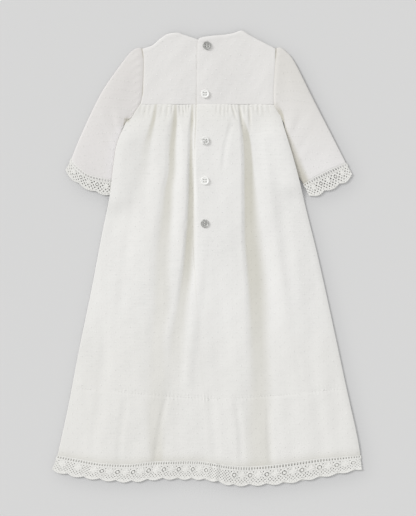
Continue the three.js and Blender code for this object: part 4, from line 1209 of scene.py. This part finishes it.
# buttons: mother-of-pearl with a raised rim, each with its own sheen
buttons = dict(
    sides=48, holeRadius=0.95, holeSpacing=1.65, holeSides=16, drill=(-1.0, 4.0), sheen=(0.28, 0.6, 0.12),
    cloud=(190, 3, 1.4), blend=(-0.12, 0.14), bump=(0.00015, 0.4),
    thread=dict(width=0.5, apart=0.25, foot=1.75, arch=0.35, sink=0.9, steps=9),
    profile=[(5.2, 0), (5.9, 0.35), (6.2, 0.95), (6.15, 1.6), (5.85, 2.1), (5.45, 2.2), (5.0, 2.1), (4.5, 1.72),
             (3.9, 1.6), (2.6, 1.62), (1.2, 1.64)],
    tones=[  # (dark, light, how much of it is dark)
        ((0.35, 0.35, 0.335), (0.66, 0.66, 0.64), 0.6),
        ((0.74, 0.74, 0.72), (0.97, 0.97, 0.95), 0.25),
        ((0.46, 0.46, 0.44), (0.92, 0.92, 0.9), 0.43),
        ((0.74, 0.74, 0.72), (0.97, 0.97, 0.95), 0.25),
        ((0.38, 0.38, 0.365), (0.68, 0.68, 0.66), 0.56),
    ],
)


def pearlMaterial(number, dark, light_, split):
    roughness, coat, coatRoughness = buttons["sheen"]
    finish = Finish(f"pearl_{number}", Roughness=roughness, Coat_Weight=coat, Coat_Roughness=coatRoughness)
    scale, detail, swirl = buttons["cloud"]
    sockets = {"Vector": finish.place(), "Scale": scale, "Detail": detail, "Distortion": swirl}
    cloud = finish.add("TexNoise", sockets).outputs["Fac"]
    below, above = buttons["blend"]
    finish.colour(finish.ramp(cloud, (split + below, dark), (split + above, light_)))
    finish.bump(cloud, *buttons["bump"])
    return finish.material


def buttonMesh():
    # rings of the profile from the underside round the rim to the dish, closed, then drilled
    sides, profile = buttons["sides"], buttons["profile"]
    turn = np.arange(sides) * math.tau / sides
    rings = [np.stack([r * np.cos(turn), r * np.sin(turn), np.full(sides, z)], axis=-1) for r, z in profile]
    points = np.concatenate(rings + [[[0, 0, profile[-1][1]], [0, 0, 0]]])
    top, foot = len(points) - 2, len(points) - 1
    faces = ringFaces(len(rings), sides)
    faces += [(top - sides + k, top - sides + (k + 1) % sides, top) for k in range(sides)]
    faces += [((k + 1) % sides, k, foot) for k in range(sides)]
    blank = makePiece("button_blank", points, faces, pearlMaterials[0])
    count, spacing, drills = buttons["holeSides"], buttons["holeSpacing"], []
    turn = np.arange(count) * math.tau / count
    ring = buttons["holeRadius"] * np.stack([np.cos(turn), np.sin(turn)], axis=-1)
    ends = [tuple(range(count - 1, -1, -1)), tuple(range(count, 2 * count))]
    for acrossWay, upWay in ((1, 1), (1, -1), (-1, 1), (-1, -1)):
        hole = ring + [acrossWay * spacing, upWay * spacing]
        walls = np.concatenate([np.column_stack([hole, np.full(count, z)]) for z in buttons["drill"]])
        drills.append((walls, ringFaces(2, count) + ends))
    drill = makePiece("button_drill", *joinParts(drills), pearlMaterials[0])
    cut = blank.modifiers.new("holes", "BOOLEAN")
    cut.operation = "DIFFERENCE"
    cut.solver = "EXACT"
    cut.object = drill
    bpy.context.view_layer.update()
    drilled = bpy.data.meshes.new_from_object(blank.evaluated_get(bpy.context.evaluated_depsgraph_get()))
    for spare in (blank, drill):
        bpy.data.objects.remove(spare)
    return drilled


def shankThreads():
    # two strands through each pair of holes
    thread, reach, strands = buttons["thread"], buttons["holeSpacing"], []
    xs = np.linspace(-reach, reach, thread["steps"])
    arch = thread["arch"] * np.cos(np.linspace(-1, 1, thread["steps"]) * np.pi / 2)
    zs = thread["foot"] + arch - thread["sink"] * (np.abs(xs) > reach * 0.95)
    for pair in (-reach, reach):
        for shift in (-thread["apart"], thread["apart"]):
            line = np.stack([xs, np.full(len(xs), pair + shift), zs], axis=-1)
            strands.append(threadMesh(line, thread["width"], thread["width"], 6))
    return joinParts(strands)


def solidPlace(node):
    # how a solid button lies: its turn, and the middle of its foot
    corners = np.array([v.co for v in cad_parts[node].data.vertices])
    middle = corners.mean(axis=0)
    away = np.linalg.svd(corners - middle, full_matrices=False)[2][2]
    away = away if away[2] > 0 else -away
    across = np.cross([0, 1, 0], away)
    across /= np.linalg.norm(across)
    foot = ((corners - middle) @ away).min()
    seat = (corners.min(axis=0) + corners.max(axis=0)) / 2
    return np.column_stack([across, np.cross(away, across), away]), seat + away * (foot - (seat - middle) @ away)


pearlMaterials = [pearlMaterial(i + 1, *tone) for i, tone in enumerate(buttons["tones"])]
drilled = buttonMesh()
drilledPoints = np.array([v.co for v in drilled.vertices])
threadPoints, threadFaces = shankThreads()
for i, pearl in enumerate(pearlMaterials):
    node = f"button_{i + 1}"
    turn, seat = solidPlace(node)
    mesh = drilled.copy()
    mesh.vertices.foreach_set("co", (drilledPoints @ turn.T + seat).ravel())
    mesh.materials.clear()
    mesh.materials.append(pearl)
    mesh.polygons.foreach_set("use_smooth", [True] * len(mesh.polygons))
    mesh.update()
    piece = bpy.data.objects.new(f"{node}_pearl", mesh)
    bpy.context.scene.collection.objects.link(piece)
    fitPiece(piece, node)
    places = (threadPoints * mm @ turn.T + seat) / mm
    fitPiece(makePiece(f"{node}_thread", places, threadFaces, sewingThread))
print("buttons are sewn on")


# the pale table under it, with a painted soft shadow round the gown on the side away from the lamp
table = dict(
    # under is the painted shadow's colour, which the blurred, shifted outline of the gown lays on the table
    size=6000, colour=(0.728, 0.728, 0.728), shade=(0.718, 0.718, 0.718), under=(0.593, 0.595, 0.6),
    z=-0.15, spacing=4, reach=(360, 452), softness=13, shift=(8, -8), roughness=0.9, cloud=3, sideSteps=80,
    sides=(300, -296), sleeveSteps=12,
)


def insideOutline(x, y, outline):
    inside = np.zeros(x.shape, bool)
    for (ax, ay), (bx, by) in zip(outline, np.roll(outline, -1, axis=0)):
        crosses = ((ay > y) != (by > y)) & (x < (bx - ax) * (y - ay) / (by - ay + 1e-9) + ax)
        inside ^= crosses
    return inside


def soften(values, width):
    offsets = np.arange(-3 * width, 3 * width + 1)
    weights = np.exp(-0.5 * (offsets / width) ** 2)
    weights /= weights.sum()
    for axis in (0, 1):
        values = np.apply_along_axis(lambda line: np.convolve(line, weights, "same"), axis, values)
    return values


wide, tall = table["reach"]
x, y = np.meshgrid(np.arange(-wide, wide + 1, table["spacing"]), np.arange(tall, -tall - 1, -table["spacing"]))
downSide = np.linspace(*table["sides"], table["sideSteps"])
bodyOutline = np.concatenate([
    yoke["leftNeck"][:-1], yoke["rightNeck"][1:], np.column_stack([rightX(downSide), downSide]),
    laceBottom[::-1], np.column_stack([leftX(downSide), downSide])[::-1]])
shadowCover = insideOutline(x, y, bodyOutline)
for shape in (leftShape, rightShape):
    share = np.linspace(0, 1, table["sleeveSteps"])
    shadowCover |= insideOutline(x, y, np.concatenate([shape.outer(share), shape.lace(share), shape.inner(share)[::-1]]))
shiftX, shiftY = (step / table["spacing"] for step in table["shift"])
shadowCover = np.roll(shadowCover.astype(float), (-round(shiftY), round(shiftX)), axis=(0, 1))
shadowCover = soften(shadowCover, table["softness"] / table["spacing"])
ends = table["size"] / 2
x[:, 0], x[:, -1], y[0], y[-1] = -ends, ends, ends, -ends
tablePaint = Finish("table_paint", Roughness=table["roughness"])
cloud = tablePaint.add("TexNoise", {"Scale": table["cloud"]}).outputs["Fac"]
paint = tablePaint.ramp(cloud, (0, table["shade"]), (1, table["colour"]))
# painted shadow: the table's colour goes over to the darker one under and beside the gown
tablePaint.colour(tablePaint.toward(paint, table["under"], "paintedTableShadow"))
tableTop = makePiece("table_top", np.stack([x, y, np.full(x.shape, table["z"])], axis=-1).reshape(-1, 3),
                     gridFaces(*x.shape), tablePaint.material, smooth=False)
keepOnPoints(tableTop, "paintedTableShadow", shadowCover)

print("the table is laid")
